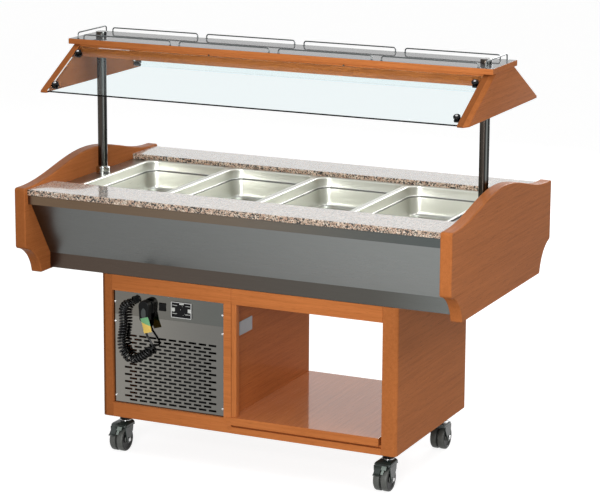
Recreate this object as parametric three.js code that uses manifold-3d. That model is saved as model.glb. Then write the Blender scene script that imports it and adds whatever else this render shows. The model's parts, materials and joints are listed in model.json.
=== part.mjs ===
// Mobile refrigerated salad bar: a wooden base on four swivel casters, a steel well with four lift-out
// gastronorm pans between two stone slabs, and a canopy shelf with sloping glass on two posts.
// Millimetres, +Z up, +X to the right seen from the front, front at -Y.
// The origin lies on the floor under the middle of the base.
import * as THREE from "three";
import { mergeGeometries, mergeVertices } from "three/addons/utils/BufferGeometryUtils.js";
import Module from "manifold-3d";

const wasm = await Module();
wasm.setup();

// ---- driving dimensions -------------------------------------------------------------------------

const clearance = 0.3; // between pieces that rest on or fit into each other

// gastronorm pans
const panCount = 4;
const panWidth = 324; // along X
const panLength = 529; // along Y
const panPitch = 325;
const panDepth = 100;
const panWall = 1.2;
const panRimWidth = 12;
const panRimCorner = 14;
const panBodyCorner = 42;
const panLedgeDepth = 32; // stacking ledge under the rim
const panLedgeWidth = 5;
const panFloorCorner = 16;
const panDraft = 3;
const panRowEnd = 67; // deck between the pan row and the cheek, which carries the post

// shaped end cheeks
const overallDepth = 900;
const cheekThickness = 38;
const cheekRise = 6; // cheek ends above the slabs
const cheekHump = 62; // centre of the cheek above its ends
const cheekHumpHalf = 425;
const cheekCove = 119; // radius of the hollow at the lower corners
const coveOut = 22; // its centre beyond the front or rear of the cheek
const coveDrop = 19; // its centre below the cheek
const cheekCorner = 8;
const cheekHeel = 11; // rounding above the hollow
const humpSteps = 12;
const cheekDrop = 6; // below the underside of the well

// base cabinet
const casterHeight = 133;
const baseInset = 232; // ends of the base from the outer faces of the cheeks
const baseDepth = 600;
const baseHeight = 480;
const rightPanelThickness = 50;
const leftPanelThickness = 39;
const sidePanelFrontRound = 14;
const sidePanelRearRound = 4;
const sidePanelRoundSteps = 5;
const frameThickness = 22; // frame rails, front to back
const frameTopRail = 52;
const frameBottomRail = 48;
const frameStile = 27;
const dividerThickness = 19;
const machineBayWidth = 433; // from the left side panel to the seam with the open bay
const machineFloorThickness = 18;
const bayFloorThickness = 28.5;
const shelfThickness = 26;
const shelfProud = 3; // past the front and rear of the base
const shelfGap = 8; // between the shelf's end and the right side panel

// machine bay front
const panelRecess = 11;
const panelSheet = 2;
const controlPanelHeight = 80;
const slotLength = 26.5;
const slotHeight = 4.5;
const slotPitch = 36.3;
const slotColumns = 9;
const slotRows = 19;
const slotRowPitch = 12.1;
const slotBottomMargin = 14; // from the lower edge of the grille to the lowest row
const slotSideMargin = 31; // from the right edge of the grille to the longest row
const ventColumns = 2;
const ventRows = 7;
const ventLength = 130;
const ventHeight = 9;
const ventRowPitch = 30;

// controls
const switchWidth = 25;
const switchHeight = 27;
const switchFromRight = 225; // centre of the switch from the right edge of the control panel
const switchFromTop = 39;
const rockerProud = 3.5;
const rockerHeightSlack = 1.5;
const rockerDip = 2.2; // middle of its V front behind its ends
const rockerPivotDepth = 2; // behind the panel's sheet
const rockerTail = 12; // behind the panel's sheet
const rockerTailHalf = 4;
const rockerPivotRadius = 1.5;
const thermostatWidth = 74;
const thermostatHeight = 53;
const thermostatProud = 5;
const thermostatCorner = 3;
const thermostatBodyWidth = 66;
const thermostatBodyHeight = 44;
const thermostatBodyDepth = 42;
const thermostatFromRight = 155;
const thermostatFromTop = 42;

// cord and plug
const glandFromRight = 320.7;
const glandFromTop = 24.7;
const glandRadius = 13;
const glandProud = 13;
const glandBore = 4.2;
const glandStem = 8; // radius of the threaded stem in the panel
const glandStemLength = 14;
const cordDiameter = 7;
const coilDiameter = 29; // outer diameter of the curls
const coilPitch = 9.9;
const curlGap = 1.2; // least gap between curls on the inner side of a bend
const curlSteps = 8;
const curlSides = 5;
const plugWidth = 46;
const plugHeight = 72;
const plugThickness = 24;
const plugFromGlandX = 43;
const plugFromGlandZ = 7; // top of the plug above the gland
const plugNeckRadius = 7;
const plugNeckLength = 22;
const plugShoulder = 12; // height of the sloping shoulders over the neck
const plugNeckFlare = 2;
const plugPinRadius = 2.4;
const plugPinLength = 19;
const plugPinSpacing = 19;
const plugPinDrop = 26; // pins below the top of the plug
const holderFlange = 8; // parking socket in front of the panel
const holderFlangeWidth = 42;
const holderFlangeHeight = 40;
const holderFlangeCorner = 6;
const holderBodyWidth = 34;
const holderBodyHeight = 30;
const holderBodyDepth = 24;

// machinery behind the grille
const compressorRadius = 68;
const compressorHeight = 165;
const compressorFromSide = 304; // its axis from the inner face of the left side panel
const compressorY = 120;
const condenserWidth = 250;
const condenserHeight = 230;
const condenserDepth = 55;
const condenserGap = 28; // behind the grille
const condenserFromSide = 194;
const fanRadius = 92;
const fanHubRadius = 26;
const fanDepth = 22;
const fanBlades = 5;
const fanRunningGap = 6;
const fanMotorRadius = 32;
const fanMotorLength = 55;
const fanShaftRadius = 4;
const fanShaftReach = 18; // into the motor
const fanBladeWidth = 46;
const fanBladeThickness = 3;
const fanBladePitch = 0.42; // radians
const fanArmDepth = 10;
const fanArmHeight = 18;

// casters
const wheelDiameter = 80;
const wheelWidth = 21;
const wheelGroove = 6;
const wheelGrooveDepth = 6;
const wheelSegments = 16; // a multiple of four, so that a flat side is down
const casterInsetLeft = 36; // swivel axis from the left end of the base
const casterInsetRight = 61;
const casterInsetY = 88; // swivel axis from the front and rear of the base
const casterTrail = 30;
const swivelRadius = 18.5;
const bearingRadius = 15.5;
const bearingHeight = 12;
const crownRear = 20.5; // rounded rear of the crown, round the swivel axis
const crownThickness = 15;
const forkLeg = 3.5;
const forkRunningGap = 1.5;
const axleRadius = 5;
const axleNut = 7;
const crownReach = 20; // crown in front of the axle
const crownLip = 5; // height of the crown's front edge
const brakeLength = 25;
const brakeWidth = 40;
const brakeThickness = 4.5;
const brakePinRadius = 3;
const brakePivotRise = 7; // above the top of the wheels
const brakeDrop = 28; // end of the pedal below its pivot
const legFootHalf = 11; // foot of a fork leg, round the axle
const legFootDrop = 11; // foot below the axle
const crownGap = 3; // crown above the wheels
const hubProud = 4; // hub beyond the axle, in radius

// well
const skirtHeight = 50;
const skirtHalf = 297; // half depth of the lower vertical skirt
const slopeHeight = 186;
const slopeTopHalf = 413;
const lipHalf = 429;
const lipHeight = 27;
const shellSheet = 2;
const shellFlange = 140; // width of the shell's top flange
const deckSheet = 1.7;
const rimSeat = 3.3; // tub wall above the deck, where the pan rims rest
const tubWall = 10;
const tubDepth = 140;
const tubFloor = 12;
const tubReach = 3; // tub wall beyond the pan row

// stone slabs
const slabThickness = 19;
const slabOuterHalf = 432;
const slabEdgeRound = 3;
const slabGap = 3.5; // from the pan rims to the slabs

// posts and canopy
const postDiameter = 32;
const postCollarDiameter = 46;
const postCollarHeight = 24;
const postFoot = 150; // length of the post below the deck
const postCapDiameter = 37;
const postCapHeight = 15;
const postFlangeDiameter = 54;
const postFlangeThickness = 4;
const canopyRise = 431; // from the slab top to the underside of the canopy board
const canopyBoardThickness = 18;
const canopyBoardInset = 8; // ends of the board from the outer faces of the cheeks
const canopyBoardDepth = 218;
const canopyCheekInset = 4; // from the ends of the board
const canopyCheekThickness = 32;
const canopyCheekHeight = 130;
const canopyCheekTopHalf = 93;
const canopyCheekBottomHalf = 324;
const canopyCheekCorner = 4;
const fasciaHeight = 42;
const fasciaThickness = 18;
const fasciaInset = 14; // behind the edge of the board
const glassThickness = 6;
const glassInset = 3; // below the sloping edge of the canopy cheek
const glassTopSetback = 9; // from the upper end of the cheek's slope, along the slope
const glassBottomSetback = 15; // from the cheek's sharp lower corner, along the slope

// gallery rails
const railWire = 4.4;
const railHeight = 14; // wire centre above the board
const endRailHeight = 19.5;
const railBend = 8;
const railsPerSide = 4;
const railGap = 33.6; // between the legs of neighbouring rails
const railEndInset = 52.6; // outer legs from the ends of the board
const railInset = 12; // from the long edges of the board
const endRailMargin = 15; // its legs from the long edges of the board
const endRailInset = 29;
const railSides = 6;

// ---- derived levels and lines -------------------------------------------------------------------

const baseTop = casterHeight + baseHeight;
const skirtTop = baseTop + skirtHeight;
const slopeTop = skirtTop + slopeHeight;
const lipTop = slopeTop + lipHeight;
const deckTop = lipTop + clearance + deckSheet;
const slabBottom = deckTop + clearance;
const slabTop = slabBottom + slabThickness;
const rimSeatTop = deckTop + rimSeat;
const panRimUnder = rimSeatTop + clearance;
const panTop = panRimUnder + panWall;
const panRowHalf = (panCount * panPitch) / 2;
const cheekInner = panRowHalf + panRowEnd;
const cheekOuter = cheekInner + cheekThickness;
const cheekEndTop = slabTop + cheekRise;
const cheekBottom = baseTop - cheekDrop;
const panHalfLength = panLength / 2;
const slabInnerHalf = panHalfLength + slabGap;
const tubOuterX = panRowHalf + tubReach;
const tubOuterY = slabInnerHalf - clearance;
const postX = (panRowHalf + cheekInner) / 2;
const canopyUnder = slabTop + canopyRise;
const canopyTop = canopyUnder + canopyBoardThickness;
const canopyBoardHalf = cheekOuter - canopyBoardInset;
const canopyCheekOuter = canopyBoardHalf - canopyCheekInset;
const canopyCheekInner = canopyCheekOuter - canopyCheekThickness;
const canopyCheekTop = canopyUnder - clearance;
const canopyCheekBottom = canopyCheekTop - canopyCheekHeight;
const baseHalf = cheekOuter - baseInset;
const baseHalfDepth = baseDepth / 2;
const rightPanelInner = baseHalf - rightPanelThickness;
const leftPanelInner = leftPanelThickness - baseHalf;
const seamX = leftPanelInner + machineBayWidth;
const frameBack = -baseHalfDepth + frameThickness;
const openingRight = seamX - frameStile;
const openingBottom = casterHeight + frameBottomRail;
const openingTop = baseTop - frameTopRail;
const panelFront = -baseHalfDepth + panelRecess;
const panelBack = panelFront + panelSheet;
const panelLeft = leftPanelInner + clearance;
const panelRight = openingRight - clearance;
const panelTop = openingTop - clearance;
const panelSeam = panelTop - controlPanelHeight;
const shelfBottom = casterHeight + bayFloorThickness + clearance;
const shelfTop = shelfBottom + shelfThickness;
const wheelRadius = wheelDiameter / 2;
const crownTopHeight = wheelDiameter + crownGap + crownThickness;
const casterLeft = casterInsetLeft - baseHalf;
const casterRight = baseHalf - casterInsetRight;
const casterY = baseHalfDepth - casterInsetY;
const glandX = panelRight - glandFromRight;
const glandZ = panelTop - glandFromTop;
const switchX = panelRight - switchFromRight;
const switchZ = panelTop - switchFromTop;
const thermostatX = panelRight - thermostatFromRight;
const thermostatZ = panelTop - thermostatFromTop;
const coilRadius = coilDiameter / 2 - cordDiameter / 2;
const glandFront = panelFront - glandProud;
const plugX = glandX + plugFromGlandX;
const plugTop = glandZ + plugFromGlandZ;
const plugBack = panelFront - clearance - holderFlange - clearance;
const plugFront = plugBack - plugThickness;
const plugY = (plugBack + plugFront) / 2;
const plugBottom = plugTop - plugHeight;
const neckBottom = plugBottom - plugNeckLength;
const pinZ = plugTop - plugPinDrop;
const compressorX = compressorFromSide + leftPanelInner;
const condenserX = condenserFromSide + leftPanelInner;

// ---- finishes -----------------------------------------------------------------------------------

function finish(color, roughness, metalness) {
  return () => new THREE.MeshStandardMaterial({ color, roughness, metalness });
}
const wood = finish(0xb9703c, 0.45, 0);
const steel = finish(0x9c9c98, 0.3, 1);
const polished = finish(0xc8c8c8, 0.12, 1);
const stone = finish(0xc7b7a2, 0.25, 0);
const greyPanel = finish(0x8c8a84, 0.5, 0.6);
const blackPlastic = finish(0x17181a, 0.4, 0);
const blackRubber = finish(0x101010, 0.6, 0);
const castGrey = finish(0x4c524e, 0.4, 0.7);
const wheelGrey = finish(0x3a3b3a, 0.6, 0);
const blackSteel = finish(0x1c1c1e, 0.5, 0.3);
const aluminium = finish(0xa8aaac, 0.4, 0.9);

function glassFinish() {
  return new THREE.MeshStandardMaterial({
    color: 0xd8efe8,
    roughness: 0.05,
    metalness: 0,
    transparent: true,
    opacity: 0.35,
  });
}

// ---- building blocks ----------------------------------------------------------------------------

const model = new THREE.Group();

// Adds a piece to the model under its own name.
function add(name, geometry, material) {
  const mesh = new THREE.Mesh(geometry, material());
  mesh.name = name;
  model.add(mesh);
  return mesh;
}

// A block between two corners.
function block(x0, x1, y0, y1, z0, z1) {
  const geometry = new THREE.BoxGeometry(x1 - x0, y1 - y0, z1 - z0);
  return geometry.translate((x0 + x1) / 2, (y0 + y1) / 2, (z0 + z1) / 2);
}

function shapeOf(points) {
  return new THREE.Shape(points.map(([x, y]) => new THREE.Vector2(x, y)));
}

// Points on an arc from one angle to another.
function arc(cx, cy, radius, start, end, steps) {
  const points = [];
  for (let i = 0; i <= steps; i += 1) {
    const angle = start + ((end - start) * i) / steps;
    points.push([cx + radius * Math.cos(angle), cy + radius * Math.sin(angle)]);
  }
  return points;
}

// A shape drawn in Y and Z, extruded along X.
function alongX(shape, x0, x1, curveSegments = 8) {
  const depth = x1 - x0;
  const geometry = new THREE.ExtrudeGeometry(shape, { depth, bevelEnabled: false, curveSegments });
  const axes = new THREE.Matrix4().makeBasis(
    new THREE.Vector3(0, 1, 0),
    new THREE.Vector3(0, 0, 1),
    new THREE.Vector3(1, 0, 0),
  );
  return geometry.applyMatrix4(axes).translate(x0, 0, 0);
}

// A shape drawn in X and Z, extruded along Y.
function alongY(shape, y0, y1, curveSegments = 8) {
  const depth = y1 - y0;
  const geometry = new THREE.ExtrudeGeometry(shape, { depth, bevelEnabled: false, curveSegments });
  return geometry.rotateX(Math.PI / 2).translate(0, y1, 0);
}

// A shape drawn in X and Y, extruded along Z.
function alongZ(shape, z0, z1, curveSegments = 8) {
  const depth = z1 - z0;
  const geometry = new THREE.ExtrudeGeometry(shape, { depth, bevelEnabled: false, curveSegments });
  return geometry.translate(0, 0, z0);
}

// A profile of [radius, height] points turned about Z.
function turned(profile, segments) {
  return new THREE.LatheGeometry(
    profile.map(([r, h]) => new THREE.Vector2(r, h)),
    segments,
  ).rotateX(Math.PI / 2);
}

// A round bar along Z between two heights.
function bar(radius, z0, z1, segments = 16) {
  return turned([[0, z0], [radius, z0], [radius, z1], [0, z1]], segments);
}

// The solid of a closed geometry.
function solid(geometry) {
  const plain = new THREE.BufferGeometry();
  const source = geometry.index ? geometry.toNonIndexed() : geometry;
  plain.setAttribute("position", source.getAttribute("position").clone());
  const merged = mergeVertices(plain, 1e-4);
  return new wasm.Manifold(
    new wasm.Mesh({
      numProp: 3,
      vertProperties: new Float32Array(merged.getAttribute("position").array),
      triVerts: new Uint32Array(merged.index.array),
    }),
  );
}

// The geometry of a solid.
function surface(body) {
  const mesh = body.getMesh();
  const geometry = new THREE.BufferGeometry();
  const points = new Float32Array(mesh.numVert * 3);
  for (let i = 0; i < mesh.numVert; i += 1) {
    points.set(mesh.vertProperties.subarray(i * mesh.numProp, i * mesh.numProp + 3), i * 3);
  }
  geometry.setAttribute("position", new THREE.BufferAttribute(points, 3));
  geometry.setIndex(new THREE.BufferAttribute(new Uint32Array(mesh.triVerts), 1));
  const flat = geometry.toNonIndexed();
  flat.computeVertexNormals();
  return flat;
}

function joined(...geometries) {
  return surface(geometries.map(solid).reduce((a, b) => a.add(b)));
}

function cut(geometry, ...tools) {
  return surface(tools.map(solid).reduce((a, b) => a.subtract(b), solid(geometry)));
}

// A block that passes right through a sheet between y0 and y1, to cut a slot in it.
function slotTool(x, z, width, height, y0, y1) {
  return block(x - width / 2, x + width / 2, y0 - 1, y1 + 1, z - height / 2, z + height / 2);
}

// A rectangle with round corners, centred on (cx, cy).
function roundedRect(cx, cy, width, height, radius) {
  const x = width / 2;
  const y = height / 2;
  const shape = new THREE.Shape();
  shape.absarc(cx + x - radius, cy - y + radius, radius, -Math.PI / 2, 0);
  shape.absarc(cx + x - radius, cy + y - radius, radius, 0, Math.PI / 2);
  shape.absarc(cx - x + radius, cy + y - radius, radius, Math.PI / 2, Math.PI);
  shape.absarc(cx - x + radius, cy - y + radius, radius, Math.PI, 1.5 * Math.PI);
  return shape;
}

// The outline of a sheet of one thickness that follows a bent path, laid on the left of the path.
function sheetOutline(path, thickness) {
  const points = path.map(([x, y]) => new THREE.Vector2(x, y));
  const left = (a, b) => new THREE.Vector2(a.y - b.y, b.x - a.x).normalize();
  const inner = points.map((p, i) => {
    const before = i > 0 ? left(points[i - 1], p) : left(p, points[i + 1]);
    const after = i < points.length - 1 ? left(p, points[i + 1]) : before;
    const mitre = before.clone().add(after);
    return p.clone().addScaledVector(mitre, (2 * thickness) / mitre.lengthSq());
  });
  return new THREE.Shape([...points, ...inner.reverse()]);
}

// ---- base cabinet -------------------------------------------------------------------------------

// A side panel of the base: a thick board whose outer upright edges are rounded, more so at the front.
function sidePanel(side, inner) {
  const d = baseHalfDepth;
  const front = sidePanelFrontRound;
  const rear = sidePanelRearRound;
  const outline = [
    [inner, -d],
    ...arc(baseHalf - front, front - d, front, -Math.PI / 2, 0, sidePanelRoundSteps),
    ...arc(baseHalf - rear, d - rear, rear, 0, Math.PI / 2, sidePanelRoundSteps),
    [inner, d],
  ];
  return alongZ(shapeOf(outline.map(([x, y]) => [side * x, y])), casterHeight, baseTop);
}
add("base_right_panel", sidePanel(1, rightPanelInner), wood);
add("base_left_panel", sidePanel(-1, -leftPanelInner), wood);

// The frame round the machine bay: top rail, right stile and bottom rail in one face.
function machineFrame() {
  const left = leftPanelInner + clearance;
  const shape = shapeOf([
    [left, casterHeight],
    [seamX, casterHeight],
    [seamX, baseTop],
    [left, baseTop],
    [left, openingTop],
    [openingRight, openingTop],
    [openingRight, openingBottom],
    [left, openingBottom],
  ]);
  return alongY(shape, -baseHalfDepth, frameBack);
}
add("machine_front_frame", machineFrame(), wood);

// The rear of the machine bay is a wooden panel with ventilation slots.
function machineBackPanel() {
  const x0 = leftPanelInner + clearance;
  const middle = (x0 + seamX) / 2;
  const spread = (seamX - x0) / ventColumns;
  const slots = [];
  for (let column = 0; column < ventColumns; column += 1) {
    for (let row = 0; row < ventRows; row += 1) {
      const x = middle + (column - (ventColumns - 1) / 2) * spread;
      const z = openingBottom + (row + 1) * ventRowPitch;
      slots.push(slotTool(x, z, ventLength, ventHeight, -frameBack, baseHalfDepth));
    }
  }
  return cut(block(x0, seamX, -frameBack, baseHalfDepth, casterHeight, baseTop), mergeGeometries(slots));
}
add("machine_back_panel", machineBackPanel(), wood);

const boardFront = frameBack + clearance;
add(
  "machine_floor",
  block(
    leftPanelInner + clearance,
    seamX - dividerThickness - clearance,
    boardFront,
    -boardFront,
    casterHeight,
    casterHeight + machineFloorThickness,
  ),
  wood,
);
add(
  "base_divider",
  block(seamX - dividerThickness, seamX, boardFront, -boardFront, casterHeight, baseTop),
  wood,
);

const bayLeft = seamX + clearance;
const bayRight = rightPanelInner - clearance;
add(
  "bay_floor",
  block(bayLeft, bayRight, -baseHalfDepth, baseHalfDepth, casterHeight, casterHeight + bayFloorThickness),
  wood,
);
add(
  "bay_shelf",
  block(
    bayLeft,
    bayRight - shelfGap,
    -baseHalfDepth - shelfProud,
    baseHalfDepth + shelfProud,
    shelfBottom,
    shelfTop,
  ),
  wood,
);
add(
  "bay_top_rail_front",
  block(bayLeft, bayRight, -baseHalfDepth, frameBack, openingTop, baseTop),
  wood,
);
add(
  "bay_top_rail_rear",
  block(bayLeft, bayRight, -frameBack, baseHalfDepth, openingTop, baseTop),
  wood,
);

// ---- machine bay front --------------------------------------------------------------------------

// The sheet above the grille, with cut-outs for the gland, the switch and the thermostat.
function controlPanel() {
  const shape = shapeOf([
    [panelLeft, panelSeam + clearance],
    [panelRight, panelSeam + clearance],
    [panelRight, panelTop],
    [panelLeft, panelTop],
  ]);
  const slack = 2 * clearance;
  const window = (cx, cz, width, height) =>
    shapeOf([
      [cx - width / 2, cz - height / 2],
      [cx + width / 2, cz - height / 2],
      [cx + width / 2, cz + height / 2],
      [cx - width / 2, cz + height / 2],
    ]);
  shape.holes.push(window(switchX, switchZ, switchWidth + slack, switchHeight + slack));
  shape.holes.push(
    window(thermostatX, thermostatZ, thermostatBodyWidth + slack, thermostatBodyHeight + slack),
  );
  shape.holes.push(window(plugX, pinZ, holderBodyWidth + slack, holderBodyHeight + slack));
  const bore = new THREE.Path();
  bore.absarc(glandX, glandZ, glandStem + clearance, 0, 2 * Math.PI, true);
  shape.holes.push(bore);
  return alongY(shape, panelFront, panelBack, 12);
}
add("control_panel", controlPanel(), greyPanel);

// The ventilation grille: staggered rows of short slots.
function grillePanel() {
  const bottom = openingBottom + clearance;
  const slots = [];
  for (let row = 0; row < slotRows; row += 1) {
    const z = bottom + slotBottomMargin + row * slotRowPitch;
    const shift = row % 2 === 0 ? 0 : slotPitch / 2;
    for (let column = 0; column < slotColumns; column += 1) {
      const right = panelRight - slotSideMargin - shift - column * slotPitch;
      slots.push(slotTool(right - slotLength / 2, z, slotLength, slotHeight, panelFront, panelBack));
    }
  }
  return cut(
    block(panelLeft, panelRight, panelFront, panelBack, bottom, panelSeam),
    mergeGeometries(slots),
  );
}
add("grille_panel", grillePanel(), greyPanel);

// A rocker with a shallow V front, on pivots in its cut-out.
function rocker() {
  const w = switchWidth / 2 - clearance;
  const h = switchHeight / 2 - rockerHeightSlack;
  const front = panelFront - rockerProud;
  const pivotY = panelBack + rockerPivotDepth;
  const shape = shapeOf([
    [front, switchZ - h],
    [front + rockerDip, switchZ],
    [front, switchZ + h],
    [pivotY, switchZ + h],
    [panelBack + rockerTail, switchZ + rockerTailHalf],
    [panelBack + rockerTail, switchZ - rockerTailHalf],
    [pivotY, switchZ - h],
  ]);
  const pivotHalf = w + clearance / 2;
  const pivot = bar(rockerPivotRadius, switchX - pivotHalf, switchX + pivotHalf, 8);
  return joined(
    alongX(shape, switchX - w, switchX + w),
    pivot.rotateY(Math.PI / 2).translate(0, pivotY, switchZ),
  );
}
add("rocker_switch", rocker(), blackPlastic);

// The thermostat: a thin bezel in front of the panel and a body behind it.
function thermostat() {
  const bezel = alongY(
    roundedRect(thermostatX, thermostatZ, thermostatWidth, thermostatHeight, thermostatCorner),
    panelFront - clearance - thermostatProud,
    panelFront - clearance,
    2,
  );
  const body = block(
    thermostatX - thermostatBodyWidth / 2,
    thermostatX + thermostatBodyWidth / 2,
    panelFront - 2 * clearance,
    panelFront + thermostatBodyDepth,
    thermostatZ - thermostatBodyHeight / 2,
    thermostatZ + thermostatBodyHeight / 2,
  );
  return joined(bezel, body);
}
add("thermostat", thermostat(), blackPlastic);

// The cord gland: a domed nut in front of the panel on a stem that passes through it.
function gland() {
  const profile = [
    [glandBore, -glandProud],
    [glandRadius * 0.62, -glandProud],
    [glandRadius * 0.85, -glandProud * 0.6],
    [glandRadius, -glandProud * 0.35],
    [glandRadius, -clearance],
    [glandStem, -clearance],
    [glandStem, glandStemLength],
    [glandBore, glandStemLength],
    [glandBore, -glandProud],
  ];
  return turned(profile, 12)
    .rotateX(-Math.PI / 2)
    .translate(glandX, panelFront, glandZ);
}
add("cord_gland", gland(), blackPlastic);

// ---- cord and plug ------------------------------------------------------------------------------

// Middle line of the curls, from the gland down and round to the tail:
// X and Z from the gland's middle, Y from its front.
const coilLine = [
  [-4, -19, -3],
  [-23, -15, -11],
  [-40, -6, -36],
  [-40, -3, -87],
  [-48, -3, -138],
  [-41, -3, -174],
  [-14, -3, -198],
  [24, -3, -185],
  [53, -3, -163],
  [65, -3, -153],
];

// The straight tail, from the last curl up to the plug's neck:
// X and Z from the bottom of the neck, Y from its middle.
const tailLine = [
  [28, 0, -62],
  [30, -3, -56],
  [26, -4, -49],
  [19, -4, -38],
  [11, -3, -27],
  [4, -1, -16],
  [0, 0, -cordDiameter],
  [0, 0, -clearance],
];

// Places along the middle line, a curl step apart: curls lie close, and spread a little in the bends.
function curlStations(middle) {
  const length = middle.getLength();
  const probe = cordDiameter / length;
  const stations = [];
  for (let s = 0; s < length; ) {
    const t = s / length;
    stations.push(t);
    const turn = middle.getTangentAt(t).angleTo(middle.getTangentAt(Math.min(1, t + probe)));
    const inner = 1 - Math.min(0.7, (turn / cordDiameter) * coilRadius);
    s += Math.max(coilPitch, (cordDiameter + curlGap) / inner) / curlSteps;
  }
  return stations;
}

// The cord as one tube: out of the gland, round the curls, then up into the plug.
function cordPoints() {
  const middle = new THREE.CatmullRomCurve3(
    coilLine.map(([x, y, z]) => new THREE.Vector3(glandX + x, glandFront + y, glandZ + z)),
    false,
    "centripetal",
  );
  const exit = new THREE.Vector3(glandX, glandFront - clearance, glandZ);
  const points = [exit, exit.clone().setY(exit.y - cordDiameter)];
  const stations = curlStations(middle);
  const front = new THREE.Vector3(0, -1, 0);
  stations.forEach((t, i) => {
    const along = middle.getTangentAt(t);
    const across = new THREE.Vector3().crossVectors(along, front).normalize();
    const out = new THREE.Vector3().crossVectors(across, along);
    const angle = (2 * Math.PI * i) / curlSteps;
    const grow = Math.min(1, (i + 3) / curlSteps, (stations.length - i + 2) / curlSteps);
    points.push(
      middle
        .getPointAt(t)
        .addScaledVector(out, Math.cos(angle) * coilRadius * grow)
        .addScaledVector(across, Math.sin(angle) * coilRadius * grow),
    );
  });
  const tail = tailLine.map(([x, y, z]) => new THREE.Vector3(plugX + x, plugY + y, neckBottom + z));
  return [...points, ...tail];
}

// A tube of a few flat sides along a list of points, closed at both ends.
function tube(points, radius, sides) {
  const tangents = points.map((p, i) => {
    const a = points[Math.max(i - 1, 0)];
    const b = points[Math.min(i + 1, points.length - 1)];
    return new THREE.Vector3().subVectors(b, a).normalize();
  });
  const vertices = [];
  let normal = new THREE.Vector3(0, 0, 1);
  if (Math.abs(tangents[0].z) > 0.9) normal = new THREE.Vector3(1, 0, 0);
  points.forEach((p, i) => {
    normal.addScaledVector(tangents[i], -normal.dot(tangents[i])).normalize();
    const side = new THREE.Vector3().crossVectors(tangents[i], normal);
    for (let k = 0; k < sides; k += 1) {
      const angle = (2 * Math.PI * k) / sides;
      vertices.push(
        p
          .clone()
          .addScaledVector(normal, Math.cos(angle) * radius)
          .addScaledVector(side, Math.sin(angle) * radius),
      );
    }
  });
  const faces = [];
  for (let i = 0; i < points.length - 1; i += 1) {
    for (let k = 0; k < sides; k += 1) {
      const a = i * sides + k;
      const b = i * sides + ((k + 1) % sides);
      faces.push(a, b, b + sides, a, b + sides, a + sides);
    }
  }
  const last = (points.length - 1) * sides;
  for (let k = 1; k < sides - 1; k += 1) {
    faces.push(0, k + 1, k, last, last + k, last + k + 1);
  }
  const geometry = new THREE.BufferGeometry().setFromPoints(vertices);
  geometry.setIndex(faces);
  return geometry;
}

// The least gap between stretches of the cord that are more than half a curl apart.
function leastSelfGap(points, diameter) {
  let least = Infinity;
  const line = [];
  for (let i = 0; i < points.length - 1; i += 1) {
    for (let k = 0; k < 4; k += 1) {
      line.push(new THREE.Vector3().lerpVectors(points[i], points[i + 1], k / 4));
    }
  }
  const skip = 4 * (curlSteps / 2 + 1);
  for (let i = 0; i < line.length; i += 1) {
    for (let j = i + skip; j < line.length; j += 1) {
      least = Math.min(least, line[i].distanceTo(line[j]) - diameter);
    }
  }
  return least;
}

const cord = cordPoints();
console.log("cord: least gap to itself, mm:", leastSelfGap(cord, cordDiameter).toFixed(2));
console.log(
  "cord: length, mm:",
  cord.slice(1).reduce((sum, p, i) => sum + p.distanceTo(cord[i]), 0).toFixed(0),
);
add("curly_cord", tube(cord, cordDiameter / 2, curlSides), blackRubber);

// The plug is parked with its cord end down: a flat body with an arched top, a neck, and two round pins
// that point at the panel.
function plug() {
  const half = plugWidth / 2;
  const shape = new THREE.Shape();
  shape.moveTo(plugX - plugNeckRadius - plugNeckFlare, plugBottom);
  shape.lineTo(plugX + plugNeckRadius + plugNeckFlare, plugBottom);
  shape.lineTo(plugX + half, plugBottom + plugShoulder);
  shape.absarc(plugX, plugTop - half, half, 0, Math.PI);
  shape.lineTo(plugX - half, plugBottom + plugShoulder);
  const body = alongY(shape, plugFront, plugBack, 8);
  const neck = turned(
    [
      [0, neckBottom],
      [plugNeckRadius - 1, neckBottom],
      [plugNeckRadius, neckBottom + 2],
      [plugNeckRadius + plugNeckFlare, plugBottom + 1],
      [0, plugBottom + 1],
    ],
    12,
  ).translate(plugX, plugY, 0);
  return joined(body, neck, ...pinPair(plugPinRadius, plugPinLength, plugBack - 1, 8));
}

// Two round bars side by side that run back from y0, for the pins and for their sockets.
function pinPair(radius, length, y0, segments) {
  return [-1, 1].map((side) =>
    bar(radius, -length, 0, segments)
      .rotateX(Math.PI / 2)
      .translate(plugX + (side * plugPinSpacing) / 2, y0, pinZ),
  );
}
add("plug", plug(), blackPlastic);

// The parking socket for the plug: a flange on the panel and a body behind it.
function plugHolder() {
  const front = panelFront - clearance - holderFlange;
  const flange = alongY(
    roundedRect(plugX, pinZ, holderFlangeWidth, holderFlangeHeight, holderFlangeCorner),
    front,
    panelFront - clearance,
    4,
  );
  const body = block(
    plugX - holderBodyWidth / 2,
    plugX + holderBodyWidth / 2,
    panelFront - 2 * clearance,
    panelFront + holderBodyDepth,
    pinZ - holderBodyHeight / 2,
    pinZ + holderBodyHeight / 2,
  );
  return cut(joined(flange, body), ...pinPair(plugPinRadius + clearance, plugPinLength + 1, front - 1, 12));
}
add("plug_holder", plugHolder(), blackPlastic);

// ---- machinery ----------------------------------------------------------------------------------

const machineFloorTop = casterHeight + machineFloorThickness + clearance;

// A hermetic compressor: a domed canister on a foot plate.
function compressor() {
  const r = compressorRadius;
  const h = compressorHeight;
  const canister = turned(
    [
      [0, 12],
      [r * 0.7, 12],
      [r * 0.95, 28],
      [r, 42],
      [r, h * 0.62],
      [r * 0.92, h * 0.82],
      [r * 0.6, h * 0.96],
      [0, h],
    ],
    20,
  );
  const foot = block(-r - 8, r + 8, -r * 0.8, r * 0.8, 0, 14);
  return joined(canister, foot).translate(compressorX, compressorY, machineFloorTop);
}
add("compressor", compressor(), blackSteel);

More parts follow.
